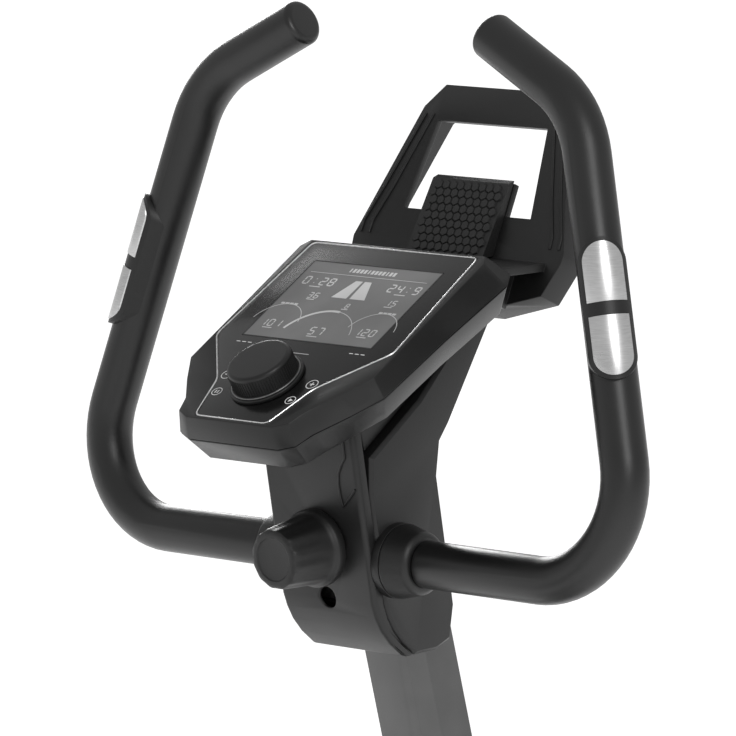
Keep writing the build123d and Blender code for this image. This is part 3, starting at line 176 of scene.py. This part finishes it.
def tint(tree, value, dark, light):
    """Blend a dark and a light grey by a value."""
    ramp = tree.nodes.new("ShaderNodeValToRGB")
    for element, position, level in zip(ramp.color_ramp.elements, TINT_RANGE, (dark, light)):
        element.position = position
        element.color = (level, level, level, 1)
    tree.links.new(value, ramp.inputs["Fac"])
    return ramp.outputs["Color"]


def bump(tree, shader, height, strength, distance):
    """Raise a shader's surface by a height value."""
    node = tree.nodes.new("ShaderNodeBump")
    node.inputs["Strength"].default_value = strength
    node.inputs["Distance"].default_value = distance
    tree.links.new(height, node.inputs["Height"])
    tree.links.new(node.outputs["Normal"], shader.inputs["Normal"])


def grained(name, level, rough, grain, depth, metallic=0.0, coat=0.0, specular=0.5):
    """Moulded, powder-coated or cast surface: fine grain, slight mottling of colour and gloss."""
    material, shader, tree = shader_of(name)
    at = coordinates(tree)
    fine = noise(tree, at, grain, 6)
    broad = noise(tree, at, 14, 3)
    tree.links.new(tint(tree, broad, level * 0.86, level * 1.14), shader.inputs["Base Color"])
    tree.links.new(spread(tree, broad, rough * 0.88, rough * 1.12), shader.inputs["Roughness"])
    bump(tree, shader, fine, depth, 0.0004)
    shader.inputs["Metallic"].default_value = metallic
    shader.inputs["Specular IOR Level"].default_value = specular
    shader.inputs["Coat Weight"].default_value = coat
    shader.inputs["Coat Roughness"].default_value = 0.12
    return material


def brushed(name, level, rough, along=(1, 1, 40), scale=120.0, depth=0.12):
    """Bright metal with fine drawn lines."""
    material, shader, tree = shader_of(name)
    lines = noise(tree, coordinates(tree, along), scale, 5)
    cloud = noise(tree, coordinates(tree), 30, 3)
    tree.links.new(tint(tree, lines, level * 0.85, level * 1.1), shader.inputs["Base Color"])
    tree.links.new(spread(tree, cloud, rough * 0.8, rough * 1.25), shader.inputs["Roughness"])
    bump(tree, shader, lines, depth, 0.0002)
    shader.inputs["Metallic"].default_value = 1.0
    return material


def vinyl(name, level):
    """Upholstery vinyl: leather cells, soft sheen."""
    material, shader, tree = shader_of(name)
    at = coordinates(tree)
    cells = tree.nodes.new("ShaderNodeTexVoronoi")
    cells.feature = "DISTANCE_TO_EDGE"
    cells.inputs["Scale"].default_value = 420
    tree.links.new(at, cells.inputs["Vector"])
    broad = noise(tree, at, 22, 4)
    tree.links.new(tint(tree, broad, level * 0.8, level * 1.2), shader.inputs["Base Color"])
    tree.links.new(spread(tree, broad, 0.42, 0.58), shader.inputs["Roughness"])
    bump(tree, shader, cells.outputs["Distance"], 0.35, 0.0008)
    shader.inputs["Sheen Weight"].default_value = 0.15
    return material


def floor_material():
    """Pale matt floor with the faintest mottling."""
    material, shader, tree = shader_of("floor_pale")
    cloud = noise(tree, coordinates(tree), 1.5, 3)
    tree.links.new(tint(tree, cloud, 0.93, 0.96), shader.inputs["Base Color"])
    shader.inputs["Roughness"].default_value = 0.9
    shader.inputs["Emission Color"].default_value = (1, 1, 1, 1)
    shader.inputs["Emission Strength"].default_value = 0.55
    return material


finishes = {
    "frame_paint": grained("frame_paint", 0.012, 0.40, 1400, 0.30, coat=0.2),
    "mast_paint": grained("mast_paint", 0.10, 0.36, 1800, 0.25, metallic=0.6),
    "housing_plastic": grained("housing_plastic", 0.010, 0.44, 1500, 0.35),
    "trim_plastic": grained("trim_plastic", 0.009, 0.44, 1300, 0.35, specular=0.42),
    "head_plastic": grained("head_plastic", 0.008, 0.42, 1600, 0.30, specular=0.42),
    "console_plastic": grained("console_plastic", 0.006, 0.36, 1800, 0.20, specular=0.38),
    "console_glass": grained("console_glass", 0.005, 0.22, 60, 0.01, coat=0.15, specular=0.3),
    "display": grained("display", 0.19, 0.45, 700, 0.03, specular=0.2),
    "grip_foam": grained("grip_foam", 0.006, 0.36, 2200, 0.22),
    "pad_rubber": grained("pad_rubber", 0.012, 0.55, 1700, 0.30),
    "sensor_steel": brushed("sensor_steel", 0.60, 0.30),
    "steel": brushed("steel", 0.55, 0.32, (1, 1, 1), 260),
    "post_chrome": brushed("post_chrome", 0.72, 0.16, (30, 30, 1), 60, 0.05),
    "crank_metal": grained("crank_metal", 0.018, 0.32, 1300, 0.22, metallic=0.5),
    "pedal_plastic": grained("pedal_plastic", 0.011, 0.52, 1200, 0.35),
    "strap_rubber": grained("strap_rubber", 0.014, 0.56, 1600, 0.30),
    "pulley_plastic": grained("pulley_plastic", 0.06, 0.50, 1100, 0.25),
    "belt_rubber": grained("belt_rubber", 0.016, 0.65, 1500, 0.35),
    "flywheel_iron": grained("flywheel_iron", 0.20, 0.38, 700, 0.30, metallic=0.9),
    "magnet": brushed("magnet", 0.6, 0.22, (1, 1, 1), 200, 0.04),
    "saddle_vinyl": vinyl("saddle_vinyl", 0.012),
    "wheel_plastic": grained("wheel_plastic", 0.014, 0.55, 1100, 0.35),
}
silver = brushed("trim_silver", 0.80, 0.28, (1, 1, 1), 300, 0.03)
dull_silver = brushed("trim_dull_silver", 0.22, 0.35, (1, 1, 1), 300, 0.03)
segment_finish = grained("lit_segment", 0.60, 0.5, 900, 0.02, specular=0.2)
mark_finish = grained("printed_mark", 0.75, 0.5, 900, 0.02, specular=0.2)


# Mesh helpers ---------------------------------------------------------------------------------------

BEVEL_SEGMENTS = 3
BEVEL_FROM = 28  # degrees: shallower edges aren't rounded
MERGE_WITHIN = 1e-6


def add_piece(name, mesh, material, node, replaces=False):
    """Put a mesh in the scene with a given material, on a CAD node's body, and optionally in that node's stead."""
    piece = bpy.data.objects.new(name, mesh)
    bpy.context.scene.collection.objects.link(piece)
    mesh.materials.clear()
    mesh.materials.append(material)
    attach(piece, body_of[node])
    if replaces:
        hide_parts(node)
    return piece


def shade(mesh, angle):
    """Smooth shading with edges sharper than an angle kept crisp."""
    mesh.shade_smooth()
    mesh.set_sharp_from_angle(angle=math.radians(angle))


def bake_modifiers(piece):
    """Apply every modifier on a piece."""
    depsgraph = bpy.context.evaluated_depsgraph_get()
    mesh = bpy.data.meshes.new_from_object(piece.evaluated_get(depsgraph))
    piece.modifiers.clear()
    piece.data = mesh


def soften(node, width):
    """Stand in for a CAD node with the same shape, its edges rounded over as a moulding's are."""
    mesh = frame["nodes"][node].data.copy()
    work = bmesh.new()
    work.from_mesh(mesh)
    bmesh.ops.remove_doubles(work, verts=work.verts, dist=MERGE_WITHIN)
    bmesh.ops.dissolve_limit(
        work,
        angle_limit=math.radians(1.0),
        verts=work.verts,
        edges=work.edges,
        use_dissolve_boundaries=False,
    )
    work.to_mesh(mesh)
    work.free()
    mesh.name = f"{node}_rounded"
    piece = add_piece(f"{node}_rounded", mesh, finishes[slot_of[node]], node, replaces=True)
    bevel = piece.modifiers.new("bevel", "BEVEL")
    bevel.width = width
    bevel.segments = BEVEL_SEGMENTS
    bevel.limit_method = "ANGLE"
    bevel.angle_limit = math.radians(BEVEL_FROM)
    bevel.use_clamp_overlap = True
    bevel.harden_normals = False
    bake_modifiers(piece)
    shade(piece.data, 40)


# Console face ---------------------------------------------------------------------------------------

DIAL_DOWN = 157  # the dial's axis, in millimetres down the face from its top edge


def face_frame():
    """The console face's origin at its top edge, its way down the slope, and its outward normal."""
    dial, normal = joint_line("console_dial_turn")
    down = RIGHT.cross(normal) * -1
    if down.z > 0:
        down = -down
    return dial - down * (DIAL_DOWN * MM), down, normal


face_origin, face_down, face_normal = face_frame()


def on_face(across, down, rise=0.0):
    """A point on the console's face, in millimetres across, down the slope and out of it."""
    return face_origin + RIGHT * across * MM + face_down * down * MM + face_normal * rise * MM


# CAD nodes ------------------------------------------------------------------------------------------

ROUNDED = {  # how wide each node's edges are rounded over, in millimetres
    "mast": 1.2, "mast_collar": 1.2, "handlebar_grips": 2.5, "handlebar_collars": 1.5,
    "pulse_bases": 2.0, "pulse_plates": 0.9, "head_cover_left": 1.4, "head_cover_right": 1.4,
    "head_rear_cover": 1.4, "handlebar_cradle": 0.8, "clamp_cap": 0.8, "console_housing": 1.4,
    "console_back": 1.6, "console_glass": 0.3, "tablet_holder": 1.6, "housing_left": 1.5,
    "housing_right": 1.5, "housing_screws": 0.4, "front_end_caps": 1.5, "rear_end_caps": 1.5,
    "front_stabilizer": 0.8, "rear_stabilizer": 0.8, "main_frame": 1.0, "crank_arm_left": 1.8,
    "crank_arm_right": 1.8, "crank_discs": 0.8, "pedal_left": 1.5, "pedal_right": 1.5,
    "pedal_strap_left": 0.8, "pedal_strap_right": 0.8, "seat_sleeve": 1.0, "seat_carriage": 0.9,
    "saddle_pan": 1.5, "seat_pin": 1.0, "carriage_knob": 1.2, "seat_post": 0.5,
    "transport_wheel_left": 0.8, "transport_wheel_right": 0.8, "levelling_foot_left": 0.8,
    "levelling_foot_right": 0.8, "stabilizer_bolts": 0.5, "mast_bolts": 0.5, "console_dial": 0.8,
}


def dress_nodes():
    """Give every CAD node its finish, and the moulded and machined ones their rounded-over edges."""
    for name, node in frame["nodes"].items():
        node.data.materials.clear()
        node.data.materials.append(finishes[slot_of[name]])
    for name, width in ROUNDED.items():
        soften(name, width * MM)


# Mesh from code -------------------------------------------------------------------------------------

ARC_STEPS = 24


def slab(work, corners, low, high, place):
    """Add a closed slab to a bmesh: an outline of 2-D corners between two heights, put in place."""
    bottom = [work.verts.new(place(x, y, low)) for x, y in corners]
    top = [work.verts.new(place(x, y, high)) for x, y in corners]
    work.faces.new(top)
    work.faces.new(list(reversed(bottom)))
    count = len(corners)
    for k in range(count):
        work.faces.new((bottom[k], bottom[(k + 1) % count], top[(k + 1) % count], top[k]))


def mesh_of(work, name):
    """Close a bmesh into a mesh with its faces turned outwards."""
    bmesh.ops.recalc_face_normals(work, faces=work.faces)
    mesh = bpy.data.meshes.new(name)
    work.to_mesh(mesh)
    work.free()
    return mesh


def box_outline(x, y, width, height):
    """A rectangle's corners about its centre."""
    return [
        (x - width / 2, y - height / 2), (x + width / 2, y - height / 2),
        (x + width / 2, y + height / 2), (x - width / 2, y + height / 2),
    ]


def ring_outline(x, y, radius, count, start=0.0):
    """A regular polygon's corners."""
    angles = [start + math.tau * k / count for k in range(count)]
    return [(x + radius * math.cos(a), y + radius * math.sin(a)) for a in angles]


def arc_slab(work, centre, radius, width, start, end, low, high, place):
    """A slab along an arc of a circle, angles in degrees."""
    x, y = centre
    angles = [math.radians(start + (end - start) * k / ARC_STEPS) for k in range(ARC_STEPS + 1)]
    outer, inner = (
        [(x + edge * math.cos(a), y + edge * math.sin(a)) for a in angles]
        for edge in (radius + width / 2, radius - width / 2)
    )
    for k in range(ARC_STEPS):
        slab(work, [inner[k], outer[k], outer[k + 1], inner[k + 1]], low, high, place)


def tube(work, centres, radius, sides=10, closed=False):
    """A round cord along a list of points."""
    count = len(centres)
    rings = []
    for k, centre in enumerate(centres):
        before = centres[k - 1] if k or closed else centre
        after = centres[(k + 1) % count] if k < count - 1 or closed else centre
        along = (after - before).normalized()
        if rings:
            side = (side - along * side.dot(along)).normalized()
        else:
            side = along.orthogonal().normalized()
        other = along.cross(side)
        rings.append([
            work.verts.new(centre + (side * math.cos(t) + other * math.sin(t)) * radius)
            for t in (math.tau * j / sides for j in range(sides))
        ])
    for k in range(count if closed else count - 1):
        one, two = rings[k], rings[(k + 1) % count]
        for j in range(sides):
            work.faces.new((one[j], one[(j + 1) % sides], two[(j + 1) % sides], two[j]))
    if not closed:
        work.faces.new(list(reversed(rings[0])))
        work.faces.new(rings[-1])


# Console --------------------------------------------------------------------------------------------

LCD_MIDDLE = 66.9  # middle of the display, down the face
LCD_WIDTH = 124
LCD_HEIGHT = 88
BORDER_WIDTH = 1.0
SEGMENTS = {  # the seven strokes of a digit: across and down from its middle, whether it lies flat
    "a": (0, -1, True), "g": (0, 0, True), "d": (0, 1, True),
    "f": (-1, -0.5, False), "b": (1, -0.5, False), "e": (-1, 0.5, False), "c": (1, 0.5, False),
}
DIGITS = {
    "0": "abcdef", "1": "bc", "2": "abged", "3": "abgcd", "4": "fgbc",
    "5": "afgcd", "6": "afgedc", "7": "abc", "8": "abcdefg", "9": "abcdfg",
}
DIGIT_LAYER = (0.02, 0.12)  # from how low to how high above the face a digit's strokes reach


def digit(work, character, x, y, half_width, half_height, stroke):
    """One seven-segment digit."""
    for name in DIGITS[character]:
        across, down, flat = SEGMENTS[name]
        cx = x + across * half_width
        cy = y + down * half_height
        long_side = (half_width * 2 if flat else half_height) - stroke * 0.7
        width, height = (long_side, stroke) if flat else (stroke, long_side)
        slab(work, box_outline(cx, cy, width, height), *DIGIT_LAYER, on_face)


def number(work, text, x, y, size, stroke):
    """A row of digits centred on a point."""
    pitch = size * 1.25
    start = x - pitch * (len(text) - 1) / 2
    for k, character in enumerate(text):
        across = start + k * pitch
        if character in DIGITS:
            digit(work, character, across, y, size * 0.36, size * 0.62, stroke)
        else:
            for down in (-0.35, 0.35):
                dot = box_outline(across, y + down * size, 0.8, 0.8)
                slab(work, dot, *DIGIT_LAYER, on_face)


def make_display_marks():
    """The display's lit segments: a header, readings, a road in the middle, and arcs below it."""
    work = bmesh.new()
    top = LCD_MIDDLE - LCD_HEIGHT / 2
    low, high = 0.06, 0.14
    for k in range(13):
        slab(work, box_outline(-21 + k * 3.5, top + 7, 2.4 if k % 5 else 1.3, 4.2), low, high, on_face)
    slab(work, box_outline(0, top + 12.5, 112, 0.35), low, high, on_face)
    for side in (-1, 1):
        road = [(1.0, 18), (7.5, 18), (16, 38), (1.6, 38)]
        slab(work, [(side * across, top + down) for across, down in road], low, high, on_face)
        arc_slab(work, (side * 46, top + 72), 22, 0.5, 190, 350, low, high, on_face)
        for k in range(4):
            slab(work, box_outline(side * (41 + 4.2 * k), top + 49.5, 3.4, 1.9), low, high, on_face)
    arc_slab(work, (0, top + 86), 33, 2.1, 197, 278, low, high, on_face)
    arc_slab(work, (0, top + 86), 33, 0.5, 278, 343, low, high, on_face)
    readings = (
        ("0:28", -40, 22, 6.4), ("36", -33, 38, 4.6), ("101", -47, 72, 5.6), ("57", 0, 76, 6.2),
        ("24:9", 42, 22, 6.4), ("15", 42, 38, 4.6), ("120", 44, 72, 5.6), ("8", 6, 46, 3.8),
    )
    for text, across, down, size in readings:
        number(work, text, across, top + down, size, size * 0.17)
        slab(work, box_outline(across, top + down + size, size * 1.6, 0.8), low, high, on_face)
    add_piece("display_marks", mesh_of(work, "display_marks"), segment_finish, "console_display")


def make_touch_marks():
    """Generic touch keys printed on the glass: ringed signs, two rows of dashes and a line."""
    work = bmesh.new()
    low, high = 0.03, 0.1
    for side in (-1, 1):
        arc_slab(work, (side * 41, 155), 4.6, 0.55, 0, 360, low, high, on_face)
        arc_slab(work, (side * 35.5, 174), 4.0, 0.55, 0, 360, low, high, on_face)
    slab(work, box_outline(-41, 155, 4.0, 0.8), low, high, on_face)
    slab(work, box_outline(41, 155, 4.0, 0.8), low, high, on_face)
    slab(work, box_outline(41, 155, 0.8, 4.0), low, high, on_face)
    for across in (-1.1, 1.1):
        slab(work, box_outline(-35.5 + across, 174, 0.8, 3.2), low, high, on_face)
    slab(work, [(34.2, 172.2), (37.8, 174), (34.2, 175.8)], low, high, on_face)
    for side in (-1, 1):
        for k in range(3):
            slab(work, box_outline(side * (60 - k * 5.5), 118.5, 3.6, 0.7), low, high, on_face)
    slab(work, box_outline(0, 124.5, 26, 0.5), low, high, on_face)
    add_piece("touch_marks", mesh_of(work, "touch_marks"), mark_finish, "console_glass")


GLASS_HALF = [(79.4, -3), (85.5, -113.7), (45.9, -160.7), (34.6, -201)]  # the trim's right-hand corners
CORNER_REACH = 5  # how far from a corner the trim starts to bend


def make_glass_trim():
    """The thin bright line round the glass, with its corners rounded."""
    points = GLASS_HALF + [(-x, y) for x, y in reversed(GLASS_HALF)]
    path = []
    for k, (x, y) in enumerate(points):
        before, after = Vector(points[k - 1]), Vector(points[(k + 1) % len(points)])
        here = Vector((x, y))
        for t in (0.0, 0.25, 0.5, 0.75, 1.0):
            start = here + (before - here).normalized() * CORNER_REACH
            end = here + (after - here).normalized() * CORNER_REACH
            path.append(start * (1 - t) ** 2 + here * 2 * t * (1 - t) + end * t**2)
    work = bmesh.new()
    tube(work, [on_face(p.x, -p.y, 0.05) for p in path], 0.65 * MM, 10, closed=True)
    add_piece("glass_trim", mesh_of(work, "glass_trim"), silver, "console_glass")


KNURL_RADIUS = 23.95
KNURL_COUNT = 72


def make_dial_trim():
    """The bright ring at the dial's foot and the fine knurl round its side."""
    work = bmesh.new()
    ring = [on_face(x, y, 3.6) for x, y in ring_outline(0, DIAL_DOWN, 25.6, 96)]
    tube(work, ring, 0.6 * MM, 10, closed=True)
    piece = add_piece("dial_ring", mesh_of(work, "dial_ring"), dull_silver, "console_dial")
    shade(piece.data, 60)
    work = bmesh.new()
    for x, y in ring_outline(0, DIAL_DOWN, KNURL_RADIUS, KNURL_COUNT):
        slab(work, ring_outline(x, y, 0.55, 6), 4.6, 15.8, on_face)
    add_piece("dial_knurl", mesh_of(work, "dial_knurl"), finishes["console_plastic"], "console_dial")


def make_display_panel():
    """The display seen through the glass: its grey field with a thin dark frame."""
    work = bmesh.new()
    slab(work, box_outline(0, LCD_MIDDLE, LCD_WIDTH, LCD_HEIGHT), -0.5, 0.04, on_face)
    mesh = mesh_of(work, "display_field")
    add_piece("display_field", mesh, finishes["display"], "console_display", replaces=True)
    work = bmesh.new()
    for side in (-1, 1):
        upright = box_outline(side * LCD_WIDTH / 2, LCD_MIDDLE, BORDER_WIDTH, LCD_HEIGHT + BORDER_WIDTH)
        level = box_outline(0, LCD_MIDDLE + side * LCD_HEIGHT / 2, LCD_WIDTH + BORDER_WIDTH, BORDER_WIDTH)
        slab(work, upright, 0.01, 0.1, on_face)
        slab(work, level, 0.01, 0.1, on_face)
    mesh = mesh_of(work, "display_border")
    add_piece("display_border", mesh, finishes["console_plastic"], "console_display")


# Tablet holder --------------------------------------------------------------------------------------

HOLDER_LEAN = math.radians(24)
RIB_STEPS = 6  # the points along each straight stretch of a rib
holder_normal = Vector((0, -math.cos(HOLDER_LEAN), math.sin(HOLDER_LEAN)))
holder_up = Vector((0, math.sin(HOLDER_LEAN), math.cos(HOLDER_LEAN)))
holder_foot = bar_axis + Vector((0, 112, 210)) * MM


def on_holder(across, up, rise):
    """A point on the holder's face, in millimetres across, up the slope and out of it."""
    return holder_foot + RIGHT * across * MM + holder_up * up * MM + holder_normal * rise * MM


def make_holder_ribs():
    """Two raised ribs that follow each side of the holder's frame."""
    work = bmesh.new()
    for side in (-1, 1):
        for inset in (0, 8.5):
            line = [(96 - inset, 5), (95.5 - inset, 14), (85.5 - inset, 40), (66 - inset * 0.9, 99)]
            points = []
            for (x1, y1), (x2, y2) in zip(line, line[1:]):
                points += [
                    (x1 + (x2 - x1) * k / RIB_STEPS, y1 + (y2 - y1) * k / RIB_STEPS) for k in range(RIB_STEPS)
                ]
            points.append(line[-1])
            tube(work, [on_holder(side * x, y, 0.15) for x, y in points], 1.15 * MM, 10)
    mesh = mesh_of(work, "holder_ribs")
    piece = add_piece("holder_ribs", mesh, finishes["trim_plastic"], "tablet_holder")
    shade(piece.data, 60)


PAD_FOOT = (98.6, 206)  # the pad's face at its foot: forward of the handlebar's axis and above it
PAD_TOP = (127.7, 256.7)
STUD_PITCH = 7.0
STUD_ROW_PITCH = 6.06
STUD_FOOT = 3.95
STUD_HEAD = 3.3
STUD_FIELD = 34.5  # half the width that the studs cover


def make_pad_studs():
    """The grip pad's raised hexagons, in staggered rows."""
    foot = bar_axis + Vector((0, *PAD_FOOT)) * MM
    slope = Vector((0, PAD_TOP[0] - PAD_FOOT[0], PAD_TOP[1] - PAD_FOOT[1]))
    length = slope.length
    slope.normalize()
    outward = slope.cross(RIGHT)
    if outward.y > 0:
        outward = -outward

    def place(x, y, rise):
        return foot + RIGHT * x * MM + slope * y * MM + outward * rise * MM

    work = bmesh.new()
    for row in range(int((length - 6) / STUD_ROW_PITCH) + 1):
        shift = STUD_PITCH / 2 if row % 2 else 0
        for column in range(-5, 6):
            x = column * STUD_PITCH + shift
            if abs(x) < STUD_FIELD:
                y = 5.0 + row * STUD_ROW_PITCH
                low = ring_outline(x, y, STUD_FOOT, 6, math.pi / 6)
                high = ring_outline(x, y, STUD_HEAD, 6, math.pi / 6)
                foot_ring = [work.verts.new(place(a, b, -0.1)) for a, b in low]
                head_ring = [work.verts.new(place(a, b, 1.3)) for a, b in high]
                work.faces.new(head_ring)
                work.faces.new(list(reversed(foot_ring)))
                for k in range(6):
                    j = (k + 1) % 6
                    work.faces.new((foot_ring[k], foot_ring[j], head_ring[j], head_ring[k]))
    add_piece("pad_studs", mesh_of(work, "pad_studs"), finishes["pad_rubber"], "tablet_pad")


# Clamp knob -----------------------------------------------------------------------------------------

FLUTES = 12
FLUTE_DEPTH = 0.035  # as a share of the barrel's radius


def lathe(work, profile, origin, axis, sides, wave):
    """Turn a profile of (radius, distance along) about an axis; wave scales the radius round it."""
    side = RIGHT if abs(axis.x) < 0.5 else Vector((0, 0, 1))
    other = axis.cross(side).normalized()
    rings = []
    for radius, along in profile:
        ring = []
        for k in range(sides):
            angle = math.tau * k / sides
            reach = radius * wave(angle, along)
            spoke = side * math.cos(angle) + other * math.sin(angle)
            ring.append(work.verts.new(origin + axis * along * MM + spoke * reach * MM))
        rings.append(ring)
    for one, two in zip(rings, rings[1:]):
        for k in range(sides):
            work.faces.new((one[k], one[(k + 1) % sides], two[(k + 1) % sides], two[k]))
    work.faces.new(rings[0])
    work.faces.new(list(reversed(rings[-1])))


def make_clamp_knob():
    """The handlebar knob: a flange, a step and a gently fluted barrel that narrows to its end."""
    origin, axis = joint_line("clamp_knob_turn")

    def flutes(angle, along):
        share = max(0.0, min(1.0, (along - 11) / 6)) * max(0.0, min(1.0, (47 - along) / 4))
        return 1 - FLUTE_DEPTH * share * (0.5 + 0.5 * math.cos(FLUTES * angle))

    profile = [
        (5.0, -18), (5.0, 0), (26.5, 0), (27.6, 0.5), (28.0, 1.6), (28.0, 6.2), (27.6, 7.2),
        (26.6, 8.2), (25.6, 9.4), (25.1, 11), (24.9, 14), (24.2, 20), (23.6, 27), (22.9, 34),
        (22.3, 40), (22.0, 42.4), (21.3, 44.3), (20.0, 45.4), (18.0, 45.9), (16.0, 45.9),
        (15.2, 45.1), (14.0, 44.9), (3.0, 44.9),
    ]
    work = bmesh.new()
    lathe(work, profile, origin, axis, 144, flutes)
    mesh = mesh_of(work, "clamp_knob_fluted")
    piece = add_piece("clamp_knob_fluted", mesh, finishes["trim_plastic"], "clamp_knob", replaces=True)
    shade(piece.data, 30)


# Rear cover -----------------------------------------------------------------------------------------

REAR_COVER = ((-30, -23), (47.5, -37.5), (97, -47))  # its face: height above the bar, distance forward


def on_rear_cover(across, up, rise):
    """A point on the head's rear cover, in millimetres across and above the handlebar."""
    for (z1, y1), (z2, y2) in zip(REAR_COVER, REAR_COVER[1:]):
        if up <= z2:
            break
    forward = y1 + (y2 - y1) * (up - z1) / (z2 - z1)
    return bar_axis + Vector((across, forward - rise, up)) * MM


def make_bracket_edge():
    """The raised lip of the console's bracket where it comes to a point on the rear cover."""
    outline = [
        (36, 90), (35.6, 76), (31, 70), (27.5, 64), (26.2, 56), (26.6, 47), (28, 40), (33, 44.5),
        (38, 49.5), (42, 54),
    ]
    work = bmesh.new()
    tube(work, [on_rear_cover(x, z, 0.2) for x, z in outline], 0.9 * MM, 10)
    mesh = mesh_of(work, "bracket_edge")
    piece = add_piece("bracket_edge", mesh, finishes["console_plastic"], "head_rear_cover")
    shade(piece.data, 60)


# Saddle ---------------------------------------------------------------------------------------------

SADDLE_VOXEL = 5.5 * MM
SADDLE_PINNED = 9 * MM  # the depth of the cover's foot that stays where it is
SADDLE_SWELL = 5 * MM  # how far a point may move
CLOTH_STEPS = 20
SEAM_RISE = 15 * MM
SEAM_POINTS = 120
STITCHES = 34
STITCH_START = 34 * MM  # from the cushion's rear edge
STITCH_MARGIN = 64 * MM  # left unstitched, both ends together
STITCH_SPREAD = 58  # from the middle to a line of stitches, where the cushion is wide
STITCH_TAPER = 44  # how much nearer to the middle the line comes towards the nose


def make_saddle():
    """The saddle's cushion as a stuffed cover: the CAD cushion inflated as cloth, then smoothed."""
    mesh = frame["nodes"]["saddle_cushion"].data.copy()
    cushion = add_piece("saddle_cover", mesh, finishes["saddle_vinyl"], "saddle_cushion", replaces=True)
    low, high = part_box("saddle_cushion")
    remesh = cushion.modifiers.new("remesh", "REMESH")
    remesh.mode = "VOXEL"
    remesh.voxel_size = SADDLE_VOXEL
    bake_modifiers(cushion)
    rest = [v.co.copy() for v in cushion.data.vertices]
    pinned = cushion.vertex_groups.new(name="pinned")
    base = low.z + SADDLE_PINNED
    pinned.add([v.index for v in cushion.data.vertices if v.co.z < base], 1.0, "REPLACE")
    cloth = cushion.modifiers.new("cloth", "CLOTH")
    cloth.settings.quality = 8
    cloth.settings.mass = 0.3
    cloth.settings.tension_stiffness = 25
    cloth.settings.compression_stiffness = 25
    cloth.settings.bending_stiffness = 4
    cloth.settings.use_pressure = True
    cloth.settings.uniform_pressure_force = 4
    cloth.settings.vertex_group_mass = "pinned"
    cloth.settings.effector_weights.gravity = 0
    cloth.point_cache.frame_start = 1
    cloth.point_cache.frame_end = CLOTH_STEPS
    for step in range(1, CLOTH_STEPS + 1):
        bpy.context.scene.frame_set(step)
    bake_modifiers(cushion)
    bpy.context.scene.frame_set(1)
    for vertex, home in zip(cushion.data.vertices, rest):
        move = vertex.co - home
        if move.length > SADDLE_SWELL:
            vertex.co = home + move.normalized() * SADDLE_SWELL
    smooth = cushion.modifiers.new("smooth", "SMOOTH")
    smooth.factor = 0.5
    smooth.iterations = 6
    subdivide = cushion.modifiers.new("subdivide", "SUBSURF")
    subdivide.levels = subdivide.render_levels = 1
    bake_modifiers(cushion)
    cushion.data.shade_smooth()
    make_saddle_seam(cushion, low, high)


def make_saddle_seam(cushion, low, high):
    """A piped seam round the cushion and a shallow stitched line down each side of its top."""
    middle = (low + high) / 2
    level = low.z + SEAM_RISE
    points = []
    for k in range(SEAM_POINTS):
        angle = math.tau * k / SEAM_POINTS
        out = Vector((math.cos(angle), math.sin(angle), 0))
        start = Vector((middle.x, middle.y, level)) + out * 0.4
        found, place, _, _ = cushion.ray_cast(start, -out)
        if found:
            points.append(place)
    work = bmesh.new()
    tube(work, points, 1.3 * MM, 8, closed=True)
    mesh = mesh_of(work, "saddle_piping")
    seam = add_piece("saddle_piping", mesh, finishes["saddle_vinyl"], "saddle_cushion")
    shade(seam.data, 60)
    work = bmesh.new()
    for side in (-1, 1):
        for k in range(STITCHES):
            y = low.y + STITCH_START + (high.y - low.y - STITCH_MARGIN) * k / (STITCHES - 1)
            forward = max(0.0, (y - middle.y + 0.02) / (high.y - middle.y))
            width = STITCH_SPREAD - STITCH_TAPER * forward
            spot = Vector((side * width * MM, y, high.z + 0.05))
            found, place, normal, _ = cushion.ray_cast(spot, Vector((0, 0, -1)))
            if found:
                lift = normal * 0.2 * MM
                stitch = [place + Vector((0, (t - 0.5) * 3.6 * MM, 0)) + lift for t in (0, 0.5, 1)]
                tube(work, stitch, 0.45 * MM, 6)
    mesh = mesh_of(work, "saddle_stitches")
    add_piece("saddle_stitches", mesh, finishes["trim_plastic"], "saddle_cushion")


# Build ----------------------------------------------------------------------------------------------

make_camera()
make_studio()
dress_nodes()
make_display_panel()
make_display_marks()
make_touch_marks()
make_glass_trim()
make_dial_trim()
make_holder_ribs()
make_pad_studs()
make_clamp_knob()
make_bracket_edge()
make_saddle()
